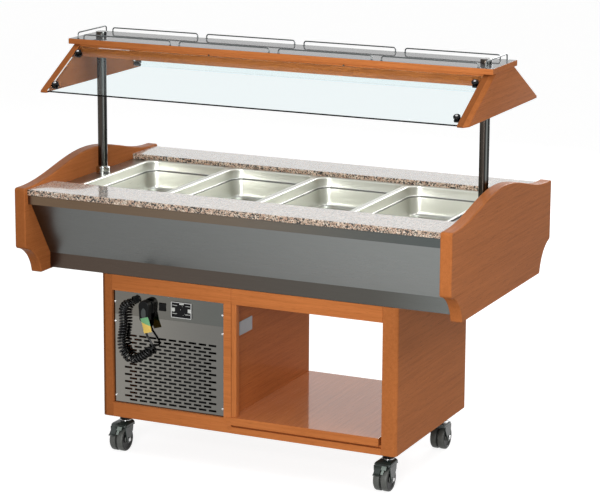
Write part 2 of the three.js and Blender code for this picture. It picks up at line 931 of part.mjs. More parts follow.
const condenserFront = panelBack + condenserGap;
const condenserBack = condenserFront + condenserDepth;
const shroudDepth = fanDepth + 2 * fanRunningGap;
const fanZ = machineFloorTop + condenserHeight / 2;
const fanStart = condenserBack + fanRunningGap;

// The condenser block with its round fan shroud and, on two arms behind it, the fan motor.
function condenser() {
  const half = condenserWidth / 2;
  const core = block(
    condenserX - half,
    condenserX + half,
    condenserFront,
    condenserBack,
    machineFloorTop,
    machineFloorTop + condenserHeight,
  );
  const shroud = block(
    condenserX - half,
    condenserX + half,
    condenserBack - 1,
    condenserBack + shroudDepth,
    machineFloorTop,
    machineFloorTop + condenserHeight,
  );
  const throat = bar(fanRadius + fanRunningGap, -shroudDepth - 1, 0, 24)
    .rotateX(Math.PI / 2)
    .translate(condenserX, condenserBack, fanZ);
  const armBack = condenserBack + shroudDepth;
  const arm = block(
    condenserX - half,
    condenserX + half,
    armBack - 1,
    armBack + fanArmDepth,
    fanZ - fanArmHeight / 2,
    fanZ + fanArmHeight / 2,
  );
  const motor = bar(fanMotorRadius, -fanMotorLength, 0, 16)
    .rotateX(Math.PI / 2)
    .translate(condenserX, armBack - 3, fanZ);
  const bore = bar(fanShaftRadius + clearance, -fanMotorLength / 2 - 3, 3, 12)
    .rotateX(Math.PI / 2)
    .translate(condenserX, armBack - 3, fanZ);
  return cut(joined(core, cut(shroud, throat), arm, motor), bore);
}
add("condenser", condenser(), aluminium);

// The condenser fan: a hub with flat pitched blades and a shaft into the motor.
function condenserFan() {
  const hub = bar(fanHubRadius, -fanDepth, 0, 16).rotateX(Math.PI / 2);
  const shaftEnd = -fanDepth - fanRunningGap - fanShaftReach;
  const shaft = bar(fanShaftRadius, shaftEnd, -fanDepth + 2, 12).rotateX(Math.PI / 2);
  const blades = [];
  for (let i = 0; i < fanBlades; i += 1) {
    const blade = new THREE.BoxGeometry(fanBladeWidth, fanBladeThickness, fanRadius - fanHubRadius + 4)
      .rotateZ(fanBladePitch)
      .translate(0, fanDepth / 2, (fanRadius + fanHubRadius) / 2 - 4)
      .rotateY((2 * Math.PI * i) / fanBlades);
    blades.push(blade);
  }
  return joined(hub, shaft, ...blades).translate(condenserX, fanStart, fanZ);
}
add("condenser_fan", condenserFan(), blackSteel);

// ---- casters ------------------------------------------------------------------------------------

const treadHalf = wheelWidth + wheelGroove / 2;
const legInner = treadHalf + forkRunningGap;
const legOuter = legInner + forkLeg;

// The swivel neck, crown and two legs of a caster, with its swivel axis on Z and its wheels towards -Y.
function casterFork() {
  const top = casterHeight - clearance;
  const crownBottom = wheelDiameter + crownGap;
  const front = -casterTrail - crownReach;
  const neck = turned(
    [
      [0, crownTopHeight - 3],
      [swivelRadius, crownTopHeight - 3],
      [swivelRadius, top - bearingHeight],
      [bearingRadius, top - bearingHeight + 2],
      [bearingRadius, top - 4],
      [swivelRadius, top - 2],
      [swivelRadius, top],
      [0, top],
    ],
    16,
  );
  const rear = alongZ(shapeOf(arc(0, 0, crownRear, -0.1, Math.PI + 0.1, 10)), crownBottom, crownTopHeight);
  const crown = alongX(
    shapeOf([
      [front, crownBottom],
      [0, crownBottom],
      [0, crownTopHeight],
      [-swivelRadius, crownTopHeight],
      [front, crownBottom + crownLip],
    ]),
    -legOuter,
    legOuter,
  );
  const legShape = shapeOf([
    [front, crownBottom + crownLip],
    [front, crownBottom - 8],
    [-casterTrail - legFootHalf, wheelRadius - 6],
    [-casterTrail - 5, wheelRadius - legFootDrop],
    [-casterTrail + 5, wheelRadius - legFootDrop],
    [-casterTrail + legFootHalf, wheelRadius - 6],
    [0, crownBottom - 12],
    [0, crownBottom + crownLip],
  ]);
  const legs = [-1, 1].map((side) =>
    alongX(legShape, side > 0 ? legInner : -legOuter, side > 0 ? legOuter : -legInner),
  );
  const axleHole = bar(axleRadius + clearance, -legOuter - 5, legOuter + 5, 10)
    .rotateY(Math.PI / 2)
    .translate(0, -casterTrail, wheelRadius);
  return cut(joined(neck, rear, crown, ...legs), axleHole);
}

// Twin wheels on one axle, as one turned piece; its axis lies along X.
function casterWheels() {
  const facet = Math.cos(Math.PI / wheelSegments);
  const r = wheelRadius / facet;
  const nut = legOuter + clearance;
  const side = [
    [r - wheelGrooveDepth, wheelGroove / 2],
    [r - 1.5, wheelGroove / 2],
    [r, wheelGroove / 2 + 3],
    [r, treadHalf - 4],
    [r - 4, treadHalf],
    [axleRadius + hubProud, treadHalf],
    [axleRadius + hubProud, treadHalf + forkRunningGap - clearance],
    [axleRadius, treadHalf + forkRunningGap - clearance],
    [axleRadius, nut],
    [axleNut, nut],
    [axleNut, nut + 4],
    [0, nut + 4],
  ];
  const mirrored = side.map(([radius, x]) => [radius, -x]).reverse();
  return turned([...mirrored, ...side], wheelSegments)
    .rotateZ(Math.PI / wheelSegments)
    .rotateY(Math.PI / 2)
    .translate(0, -casterTrail, wheelRadius);
}

// The brake pedal: a sloping plate on a pin at the front of the crown.
const brakePivotY = -casterTrail - crownReach - brakePinRadius - clearance;
const brakePivotZ = wheelDiameter + brakePivotRise;
function casterBrake() {
  const half = brakeWidth / 2;
  const pin = bar(brakePinRadius, -half, half, 8)
    .rotateY(Math.PI / 2)
    .translate(0, brakePivotY, brakePivotZ);
  const slope = Math.hypot(brakeLength, brakeDrop);
  const across = (brakeThickness / 2) * (brakeDrop / slope);
  const upright = (brakeThickness / 2) * (brakeLength / slope);
  const plate = shapeOf([
    [brakePivotY + across, brakePivotZ - upright],
    [brakePivotY - across, brakePivotZ + upright],
    [brakePivotY - brakeLength - across, brakePivotZ - brakeDrop + upright],
    [brakePivotY - brakeLength + across, brakePivotZ - brakeDrop - upright],
  ]);
  return joined(pin, alongX(plate, -half, half));
}

const casterPlaces = [
  ["front_left", casterLeft, -casterY, 0],
  ["front_right", casterRight, -casterY, 0],
  ["rear_left", casterLeft, casterY, Math.PI],
  ["rear_right", casterRight, casterY, Math.PI],
];
for (const [place, x, y, turn] of casterPlaces) {
  const caster = new THREE.Group();
  caster.position.set(x, y, 0);
  caster.rotation.z = turn;
  model.add(caster);
  caster.add(add(`caster_fork_${place}`, casterFork(), castGrey));
  caster.add(add(`caster_wheels_${place}`, casterWheels(), wheelGrey));
  if (turn === 0) caster.add(add(`caster_brake_${place}`, casterBrake(), castGrey));
}

// ---- well ---------------------------------------------------------------------------------------

const wellHalf = cheekInner - clearance;

// The folded outer shell: bottom, skirts, sloping sides, lips and top flanges.
function wellShell() {
  const bottom = baseTop + clearance;
  const side = [
    [skirtHalf, bottom],
    [skirtHalf, skirtTop],
    [slopeTopHalf, slopeTop],
    [lipHalf, slopeTop],
    [lipHalf, lipTop],
    [lipHalf - shellFlange, lipTop],
  ];
  const mirrored = side.map(([y, z]) => [-y, z]).reverse();
  return alongX(sheetOutline([...mirrored, ...side], shellSheet), -wellHalf, wellHalf);
}
add("well_shell", wellShell(), steel);

// The insulated tub with its deck: the pans hang on its raised edge and the posts pass through the deck.
function wellTub() {
  const deckUnder = deckTop - deckSheet;
  const deck = block(-wellHalf, wellHalf, -lipHalf, lipHalf, deckUnder, deckTop);
  const outer = block(
    -tubOuterX,
    tubOuterX,
    -tubOuterY,
    tubOuterY,
    rimSeatTop - tubDepth - tubFloor,
    rimSeatTop,
  );
  const inner = block(
    -tubOuterX + tubWall,
    tubOuterX - tubWall,
    -tubOuterY + tubWall,
    tubOuterY - tubWall,
    rimSeatTop - tubDepth,
    rimSeatTop + 10,
  );
  const holes = [-1, 1].map((side) =>
    bar(postDiameter / 2 + clearance, deckUnder - 5, deckTop + 5, 16).translate(side * postX, 0, 0),
  );
  return cut(joined(deck, outer), inner, ...holes);
}
add("well_tub", wellTub(), steel);

// A stone slab with its four long edges eased.
function slab(side) {
  const r = slabEdgeRound;
  const y0 = slabInnerHalf;
  const y1 = slabOuterHalf;
  const shape = shapeOf([
    [y0 + 1, slabBottom],
    [y1 - 1, slabBottom],
    [y1, slabBottom + 1],
    [y1, slabTop - r],
    [y1 - r * 0.3, slabTop - r * 0.3],
    [y1 - r, slabTop],
    [y0 + r, slabTop],
    [y0 + r * 0.3, slabTop - r * 0.3],
    [y0, slabTop - r],
    [y0, slabBottom + 1],
  ]);
  const geometry = alongX(shape, -wellHalf, wellHalf);
  return side > 0 ? geometry : geometry.rotateZ(Math.PI);
}
add("granite_slab_front", slab(-1), stone);
add("granite_slab_rear", slab(1), stone);

// ---- pans ---------------------------------------------------------------------------------------

// A ring of points round a rectangle with round corners, in the plane of height z.
function panRing([width, length, radius, z]) {
  const corner = 3;
  const ring = [];
  for (let q = 0; q < 4; q += 1) {
    const sx = q === 0 || q === 3 ? 1 : -1;
    const sy = q < 2 ? 1 : -1;
    for (let k = 0; k <= corner; k += 1) {
      const angle = (Math.PI / 2) * (q + k / corner);
      ring.push(
        new THREE.Vector3(
          sx * (width / 2 - radius) + radius * Math.cos(angle),
          sy * (length / 2 - radius) + radius * Math.sin(angle),
          z,
        ),
      );
    }
  }
  return ring;
}

// A thin pressed pan: rings run up the outside, over the rim and down the inside.
function pan() {
  const openWidth = panWidth - 2 * panRimWidth;
  const openLength = panLength - 2 * panRimWidth;
  const ledgeWidth = openWidth - 2 * panLedgeWidth;
  const ledgeLength = openLength - 2 * panLedgeWidth;
  const floorWidth = ledgeWidth - 2 * panDraft;
  const floorLength = ledgeLength - 2 * panDraft;
  const c = panBodyCorner;
  const f = panFloorCorner;
  const w = panWall;
  const inside = [
    [openWidth + 4, openLength + 4, c + 2, panTop],
    [openWidth, openLength, c, panTop - 4],
    [openWidth, openLength, c, panTop - panLedgeDepth],
    [ledgeWidth, ledgeLength, c - panLedgeWidth, panTop - panLedgeDepth - 4],
    [floorWidth, floorLength, c - panLedgeWidth, panTop - panDepth + f],
    [floorWidth - 0.6 * f, floorLength - 0.6 * f, c - panLedgeWidth - 0.3 * f, panTop - panDepth + 0.3 * f],
    [floorWidth - 2 * f, floorLength - 2 * f, c - panLedgeWidth - f, panTop - panDepth],
  ];
  const outside = inside
    .slice(1)
    .map(([width, length, radius, z]) => [width + 2 * w, length + 2 * w, radius + w, z - w])
    .reverse();
  const rim = [
    [openWidth + 4 + 2 * w, openLength + 4 + 2 * w, c + 2 + w, panTop - w],
    [panWidth, panLength, panRimCorner, panTop - w],
    [panWidth, panLength, panRimCorner, panTop],
  ];
  const rings = [...outside, ...rim, ...inside].map(panRing);
  const n = rings[0].length;
  const points = rings.flat();
  const faces = [];
  for (let i = 0; i < rings.length - 1; i += 1) {
    for (let k = 0; k < n; k += 1) {
      const a = i * n + k;
      const b = i * n + ((k + 1) % n);
      faces.push(a, b, b + n, a, b + n, a + n);
    }
  }
  const last = (rings.length - 1) * n;
  for (let k = 1; k < n - 1; k += 1) {
    faces.push(0, k + 1, k, last, last + k, last + k + 1);
  }
  const geometry = new THREE.BufferGeometry().setFromPoints(points);
  geometry.setIndex(faces);
  return geometry;
}
for (let i = 0; i < panCount; i += 1) {
  const x = (i - (panCount - 1) / 2) * panPitch;
  add(`pan_${i + 1}`, pan(), polished).position.set(x, 0, 0);
}

// ---- cheeks -------------------------------------------------------------------------------------

// The shaped cheek: flat ends, a low hump in the middle of the top and a hollow cove at each lower corner.
function cheek() {
  const half = overallDepth / 2;
  const r = cheekCorner;
  const coveY = half + coveOut;
  const coveZ = cheekBottom - coveDrop;
  const heelY = half - cheekHeel;
  const lip = Math.asin((coveY - heelY) / cheekCove);
  const foot = Math.asin(coveDrop / cheekCove);
  const cove = arc(coveY, coveZ, cheekCove, Math.PI - foot, Math.PI / 2 + lip, 9);
  const heelZ = coveZ + cheekCove * Math.cos(lip) + cheekHeel;
  const heel = arc(heelY, heelZ, cheekHeel, 0.1 - Math.PI / 2, 0, 3);
  const shoulder = arc(half - r, cheekEndTop - r, r, 0, Math.PI / 2, 3);
  const hump = [];
  for (let i = 0; i <= humpSteps; i += 1) {
    const y = cheekHumpHalf * (1 - i / humpSteps);
    hump.push([y, cheekEndTop + (cheekHump / 2) * (1 + Math.cos((Math.PI * y) / cheekHumpHalf))]);
  }
  const right = [...cove, ...heel, ...shoulder, ...hump];
  const left = right.slice(0, -1).reverse().map(([y, z]) => [-y, z]);
  return shapeOf([...right, ...left]);
}
add("cheek_right", alongX(cheek(), cheekInner, cheekOuter), wood);
add("cheek_left", alongX(cheek(), -cheekOuter, -cheekInner), wood);

// ---- posts and canopy ---------------------------------------------------------------------------

// A post: a foot below the deck, a collar on it, a flange under the canopy board and a cap above it.
function post() {
  const r = postDiameter / 2;
  const collar = postCollarDiameter / 2;
  const seat = deckTop + clearance;
  const flangeTop = canopyUnder - clearance;
  const capBottom = canopyTop + clearance;
  return turned(
    [
      [0, deckTop - postFoot],
      [r, deckTop - postFoot],
      [r, seat],
      [collar, seat],
      [collar, seat + postCollarHeight - 3],
      [collar - 3, seat + postCollarHeight],
      [r, seat + postCollarHeight],
      [r, flangeTop - postFlangeThickness],
      [postFlangeDiameter / 2, flangeTop - postFlangeThickness],
      [postFlangeDiameter / 2, flangeTop],
      [r, flangeTop],
      [r, capBottom],
      [postCapDiameter / 2, capBottom],
      [postCapDiameter / 2, capBottom + postCapHeight - 1.5],
      [postCapDiameter / 2 - 1.5, capBottom + postCapHeight],
      [0, capBottom + postCapHeight],
    ],
    16,
  );
}
add("post_left", post(), polished).position.set(-postX, 0, 0);
add("post_right", post(), polished).position.set(postX, 0, 0);

// The canopy board with its two post holes.
function canopyBoard() {
  const x = canopyBoardHalf;
  const y = canopyBoardDepth / 2;
  const shape = shapeOf([[-x, -y], [x, -y], [x, y], [-x, y]]);
  for (const side of [-1, 1]) {
    const hole = new THREE.Path();
    hole.absarc(side * postX, 0, postDiameter / 2 + clearance, 0, 2 * Math.PI, true);
    shape.holes.push(hole);
  }
  return alongZ(shape, canopyUnder, canopyTop, 8);
}
add("canopy_board", canopyBoard(), wood);

const fasciaFront = canopyBoardDepth / 2 - fasciaInset;
const fasciaEnd = canopyCheekInner - clearance;
const fasciaTop = canopyUnder - clearance;
for (const [place, side] of [["front", -1], ["rear", 1]]) {
  const outer = side * fasciaFront;
  const inner = side * (fasciaFront - fasciaThickness);
  add(
    `fascia_${place}`,
    block(
      -fasciaEnd,
      fasciaEnd,
      Math.min(outer, inner),
      Math.max(outer, inner),
      fasciaTop - fasciaHeight,
      fasciaTop,
    ),
    wood,
  );
}

// A canopy cheek: a trapezium, wider at the bottom, with round lower corners.
function canopyCheek() {
  const slope = Math.atan2(canopyCheekHeight, canopyCheekBottomHalf - canopyCheekTopHalf);
  const r = canopyCheekCorner;
  const centre = canopyCheekBottomHalf - r / Math.tan(slope / 2);
  const tip = arc(centre, canopyCheekBottom + r, r, -Math.PI / 2, Math.PI / 2 - slope, 4);
  const right = [...tip, [canopyCheekTopHalf, canopyCheekTop]];
  const left = right.map(([y, z]) => [-y, z]).reverse();
  return shapeOf([...right, ...left]);
}
add("canopy_cheek_right", alongX(canopyCheek(), canopyCheekInner, canopyCheekOuter), wood);
add("canopy_cheek_left", alongX(canopyCheek(), -canopyCheekOuter, -canopyCheekInner), wood);

// A sloping pane that follows the cheek's edge a little below it.
function glassPane(side) {
  const top = new THREE.Vector2(canopyCheekTopHalf, canopyCheekTop);
  const bottom = new THREE.Vector2(canopyCheekBottomHalf, canopyCheekBottom);
  const down = new THREE.Vector2().subVectors(bottom, top).normalize();
  const inward = new THREE.Vector2(down.y, -down.x);
  const at = (along, depth) => [
    top.x + down.x * along + inward.x * depth,
    top.y + down.y * along + inward.y * depth,
  ];
  const length = top.distanceTo(bottom) - glassBottomSetback;
  const shape = shapeOf([
    at(glassTopSetback, glassInset),
    at(glassTopSetback, glassInset + glassThickness),
    at(length, glassInset + glassThickness),
    at(length, glassInset),
  ]);
  const geometry = alongX(shape, -fasciaEnd, fasciaEnd);
  return side > 0 ? geometry : geometry.rotateZ(Math.PI);
}
add("glass_front", glassPane(-1), glassFinish);
add("glass_rear", glassPane(1), glassFinish);

// ---- gallery rails ------------------------------------------------------------------------------

// A low wire rail along X, centred on the origin of the board's top: two legs and a rounded top bar.
function rail(length, height) {
  const half = length / 2;
  const foot = canopyTop + clearance;
  const top = canopyTop + height;
  const bend = (cx, start) =>
    [0, 1, 2, 3].map((k) => {
      const angle = start - (k * Math.PI) / 6;
      const z = top - railBend + railBend * Math.sin(angle);
      return new THREE.Vector3(cx + railBend * Math.cos(angle), 0, z);
    });
  const points = [
    new THREE.Vector3(-half, 0, foot),
    ...bend(-half + railBend, Math.PI),
    ...bend(half - railBend, Math.PI / 2),
    new THREE.Vector3(half, 0, foot),
  ];
  return tube(points, railWire / 2, railSides);
}
const railSpace = 2 * (canopyBoardHalf - railEndInset) - (railsPerSide - 1) * railGap;
const railLength = railSpace / railsPerSide;
const railPitch = railLength + railGap;
const railY = canopyBoardDepth / 2 - railInset;
for (const [place, side] of [["front", -1], ["rear", 1]]) {
  for (let i = 0; i < railsPerSide; i += 1) {
    const x = (i - (railsPerSide - 1) / 2) * railPitch;
    const wire = add(`gallery_rail_${place}_${i + 1}`, rail(railLength, railHeight), polished);
    wire.position.set(x, side * railY, 0);
  }
}
for (const [place, side] of [["left", -1], ["right", 1]]) {
  const endLength = canopyBoardDepth - 2 * endRailMargin;
  const end = add(`gallery_rail_${place}`, rail(endLength, endRailHeight), polished);
  end.position.set(side * (canopyBoardHalf - endRailInset), 0, 0);
  end.rotation.z = Math.PI / 2;
}

export default model;
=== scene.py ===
"""A mobile salad bar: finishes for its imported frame, and the pieces that need finer shapes than its solids.

Metres throughout, in the frame's own axes: +X to the right seen from the front, +Y to the rear, +Z up,
with the origin on the floor under the middle of the base.
"""

import math

import bmesh
import bpy
import json
import numpy as np
from mathutils import Matrix, Vector


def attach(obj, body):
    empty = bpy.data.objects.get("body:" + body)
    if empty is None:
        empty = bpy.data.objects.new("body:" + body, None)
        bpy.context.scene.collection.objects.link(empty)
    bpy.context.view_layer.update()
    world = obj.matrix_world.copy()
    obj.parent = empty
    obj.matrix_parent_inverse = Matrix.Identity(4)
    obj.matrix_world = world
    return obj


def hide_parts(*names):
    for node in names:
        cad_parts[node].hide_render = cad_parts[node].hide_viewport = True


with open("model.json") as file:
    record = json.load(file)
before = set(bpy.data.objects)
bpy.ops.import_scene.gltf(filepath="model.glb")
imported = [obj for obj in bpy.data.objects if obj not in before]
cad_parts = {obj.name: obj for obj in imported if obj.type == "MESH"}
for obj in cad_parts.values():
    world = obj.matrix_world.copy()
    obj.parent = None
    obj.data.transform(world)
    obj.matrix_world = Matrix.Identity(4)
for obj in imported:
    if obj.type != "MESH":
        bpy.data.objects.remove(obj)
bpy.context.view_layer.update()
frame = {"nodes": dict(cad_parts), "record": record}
NODES = frame["nodes"]
TAU = 2 * math.pi
PLACES = ("front_left", "front_right", "rear_left", "rear_right")
ROOT = "salad_bar"
GAP = 0.0003  # left between two pieces that would touch


# ---- camera ---------------------------------------------------------------------------------------


def add_camera():
    """The photograph's view: from the front right, a little above the canopy, looking down slightly."""
    width, height = 600, 498
    focal = 2350.03
    centre = (303.81, 194.55)
    place = Vector((3.19549, -6.78678, 2.42243))
    yaw, pitch, roll = (math.radians(a) for a in (24.77, 11.71, 0.35))
    ahead = Vector((-math.sin(yaw) * math.cos(pitch), math.cos(yaw) * math.cos(pitch), -math.sin(pitch)))
    right = Vector((math.cos(yaw), math.sin(yaw), 0))
    up = right.cross(ahead)
    side = right * math.cos(roll) + up * math.sin(roll)
    top = up * math.cos(roll) - right * math.sin(roll)
    camera = bpy.data.objects.new("camera", bpy.data.cameras.new("camera"))
    bpy.context.scene.collection.objects.link(camera)
    turn = Matrix((side, top, -ahead)).transposed().to_4x4()
    camera.matrix_world = Matrix.Translation(place) @ turn
    camera.data.sensor_width = 36
    camera.data.lens = 36 * focal / width
    camera.data.shift_x = (width / 2 - centre[0]) / width
    camera.data.shift_y = (centre[1] - height / 2) / width
    camera.data.clip_end = 60
    bpy.context.scene.camera = camera


add_camera()


# ---- surfaces -------------------------------------------------------------------------------------


def grid_faces(rows, columns, wrap_rows=False, wrap_columns=False):
    """Four-sided faces between neighbouring rows and columns of a grid of points."""
    r = np.arange(rows if wrap_rows else rows - 1)[:, None]
    c = np.arange(columns if wrap_columns else columns - 1)[None, :]
    here = r * columns + c
    beside = r * columns + (c + 1) % columns
    below = ((r + 1) % rows) * columns + c
    corner = ((r + 1) % rows) * columns + (c + 1) % columns
    return np.stack([here, beside, corner, below], axis=-1).reshape(-1, 4)


def surface(points, wrap_rows=False, wrap_columns=False, caps=False):
    """Points and faces of a grid surface; caps close its first and last row, where its columns wrap."""
    rows, columns = points.shape[:2]
    faces = grid_faces(rows, columns, wrap_rows, wrap_columns).tolist()
    if caps:
        faces.append(list(range(columns))[::-1])
        faces.append([(rows - 1) * columns + i for i in range(columns)])
    return points.reshape(-1, 3), faces


def together(*parts):
    """Several surfaces as one list of points and one of faces."""
    points, faces, start = [], [], 0
    for part_points, part_faces in parts:
        points.append(part_points)
        faces += [[start + i for i in face] for face in part_faces]
        start += len(part_points)
    return np.concatenate(points), faces


def placed(part, turn=None, at=(0, 0, 0)):
    """A surface turned by a matrix and then moved."""
    points, faces = part
    if turn is not None:
        points = points @ np.array(turn.to_3x3()).T
    return points + np.array(at), faces


def turned(profile, segments):
    """Radius and height pairs carried round the Z axis: x and y are the radius times cosine and sine."""
    profile = np.array(profile, float)
    angle = np.arange(segments) * TAU / segments
    radius = profile[:, 0][:, None]
    points = np.stack(
        [
            radius * np.cos(angle),
            radius * np.sin(angle),
            np.broadcast_to(profile[:, 1][:, None], (len(profile), segments)),
        ],
        axis=-1,
    )
    return surface(points, wrap_columns=True)


def swept(path, radius, sides):
    """A round section carried along a path of points, closed at both ends.

    Each ring's first direction is the one before it, less its part along the path, so the tube doesn't twist.
    """
    path = np.array(path, float)
    along = np.gradient(path, axis=0)
    along /= np.linalg.norm(along, axis=1)[:, None]
    normals = [np.cross(along[0], (0.3, 1, 0.2))]
    for tangent in along:
        across = normals[-1] - tangent * np.dot(normals[-1], tangent)
        normals.append(across / np.linalg.norm(across))
    normal = np.array(normals[1:])
    other = np.cross(along, normal)
    angle = (np.arange(sides) * TAU / sides)[None, :, None]
    ring = normal[:, None, :] * np.cos(angle) + other[:, None, :] * np.sin(angle)
    return surface(path[:, None, :] + radius * ring, wrap_columns=True, caps=True)


def round_rectangle(width, length, radius, height, steps=8):
    """Points round a rectangle at one height, with a quarter of a circle at each of its corners."""
    quarter = np.linspace(0, TAU / 4, steps + 1)
    angle = np.concatenate([quarter + q * TAU / 4 for q in range(4)])
    sign = np.repeat([(1, 1), (-1, 1), (-1, -1), (1, -1)], steps + 1, axis=0)
    x = sign[:, 0] * (width / 2 - radius) + radius * np.cos(angle)
    y = sign[:, 1] * (length / 2 - radius) + radius * np.sin(angle)
    return np.stack([x, y, np.full_like(x, height)], axis=-1)


def extruded(outline, start, end, axis="x"):
    """A flat outline of two coordinates carried along an axis, with flat ends."""
    outline = np.array(outline, float)
    rows = []
    for level in (start, end):
        flat = np.full(len(outline), level)
        columns = {
            "x": (flat, outline[:, 0], outline[:, 1]),
            "y": (outline[:, 0], flat, outline[:, 1]),
            "z": (outline[:, 0], outline[:, 1], flat),
        }[axis]
        rows.append(np.stack(columns, axis=-1))
    return surface(np.array(rows), wrap_columns=True, caps=True)


def block(low, high):
    """A box between two corners."""
    (x0, y0, z0), (x1, y1, z1) = low, high
    return extruded([(y0, z0), (y1, z0), (y1, z1), (y0, z1)], x0, x1)


def arc(centre, radius, start, end, steps):
    """Points on a round arc between two angles, in degrees from the first of its two directions."""
    angle = np.radians(np.linspace(start, end, steps + 1))
    return np.stack([centre[0] + radius * np.cos(angle), centre[1] + radius * np.sin(angle)], axis=-1)


def piece(name, part, material, body=ROOT, smooth=35, bevel=0.0, replaces=()):
    """A named piece of the object: mesh, finish, rounded edges, and the body it rides on."""
    points, faces = part
    mesh = bpy.data.meshes.new(name)
    mesh.from_pydata(points.tolist(), [], faces)
    mesh.validate()
    merged_and_outward(mesh)
    mesh.materials.append(material)
    mesh.shade_smooth()
    mesh.set_sharp_from_angle(angle=math.radians(smooth))
    thing = bpy.data.objects.new(name, mesh)
    bpy.context.scene.collection.objects.link(thing)
    if bevel:
        rounded_edges(thing, bevel)
    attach(thing, body)
    if replaces:
        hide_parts(*replaces)
    return thing


def merged_and_outward(mesh):
    """Closes poles and seams, and points every face outwards."""
    work = bmesh.new()
    work.from_mesh(mesh)
    bmesh.ops.remove_doubles(work, verts=work.verts, dist=1e-6)
    bmesh.ops.recalc_face_normals(work, faces=work.faces)
    work.to_mesh(mesh)
    work.free()


def rounded_edges(thing, width, segments=3):
    """A bevel on every edge whose two faces meet at more than 40 degrees."""
    bevel = thing.modifiers.new("rounded edges", "BEVEL")
    bevel.width = width
    bevel.segments = segments
    bevel.limit_method = "ANGLE"
    bevel.angle_limit = math.radians(40)
    bevel.harden_normals = False


def eased_node(name, width):
    """Rounds the edges of a frame node: its triangles are joined and made into flat faces first."""
    thing = NODES[name]
    weld = thing.modifiers.new("weld", "WELD")
    weld.merge_threshold = 1e-5
    flat = thing.modifiers.new("flat faces", "DECIMATE")
    flat.decimate_type = "DISSOLVE"
    flat.angle_limit = math.radians(1)
    rounded_edges(thing, width, 2)


# ---- shader maths -----------------------------------------------------------------------------------


class Value:
    """A shader socket that adds, subtracts, multiplies and divides like a number."""

    def __init__(self, graph, socket):
        self.graph = graph
        self.socket = socket

    def maths(self, operation, *others):
        """The result of a Math node on this value and others."""
        return self.graph.maths(operation, self, *others)

    def __add__(self, other):
        return self.maths("ADD", other)

    def __sub__(self, other):
        return self.maths("SUBTRACT", other)

    def __mul__(self, other):
        return self.maths("MULTIPLY", other)

    def __truediv__(self, other):
        return self.maths("DIVIDE", other)

    def __rsub__(self, other):
        return self.graph.maths("SUBTRACT", other, self)

    __radd__ = __add__
    __rmul__ = __mul__

    def over(self, low, high):
        """0 below low, 1 above high, and a smooth rise between them."""
        node = self.graph.node(
            "ShaderNodeMapRange",
            {"interpolation_type": "SMOOTHSTEP"},
            {"Value": self, "From Min": low, "From Max": high},
        )
        return Value(self.graph, node.outputs["Result"])

    def sine(self):
        """Its sine, in radians."""
        return self.maths("SINE")

    def size(self):
        """Its distance from nought."""
        return self.maths("ABSOLUTE")

    def fraction(self):
        """What is left of it past a whole number."""
        return self.maths("FRACT")

    def whole(self):
        """The whole number at or below it."""
        return self.maths("FLOOR")

    def greater(self, other):
        """The greater one of two values."""
        return self.maths("MAXIMUM", other)


class Graph:
    """A node tree, with one method that adds any node and one that adds maths."""

    def __init__(self, tree):
        self.tree = tree

    def fill(self, node, values):
        """Gives sockets of a node their values or links."""
        for key, value in values.items():
            socket = node.inputs[key]
            if isinstance(value, Value):
                self.tree.links.new(value.socket, socket)
            else:
                socket.default_value = value

    def node(self, kind, settings=None, values=None):
        """Adds a node of a type, with its settings first and then the values or links of its sockets."""
        node = self.tree.nodes.new(kind)
        for key, value in (settings or {}).items():
            if key == "stops":
                fill_ramp(node.color_ramp, value)
            else:
                setattr(node, key, value)
        self.fill(node, values or {})
        return node

    def maths(self, operation, *numbers):
        """The result of a Math node on numbers and values."""
        node = self.node("ShaderNodeMath", {"operation": operation}, dict(enumerate(numbers)))
        return Value(self, node.outputs[0])

    def seen_directly(self):
        """1 for the rays that come from the camera, a mirror or clear glass, and 0 for the rest."""
        path = self.node("ShaderNodeLightPath")
        camera, mirror, clear = (
            Value(self, path.outputs[f"Is {kind} Ray"]) for kind in ("Camera", "Glossy", "Transmission")
        )
        return camera.greater(mirror).greater(clear)


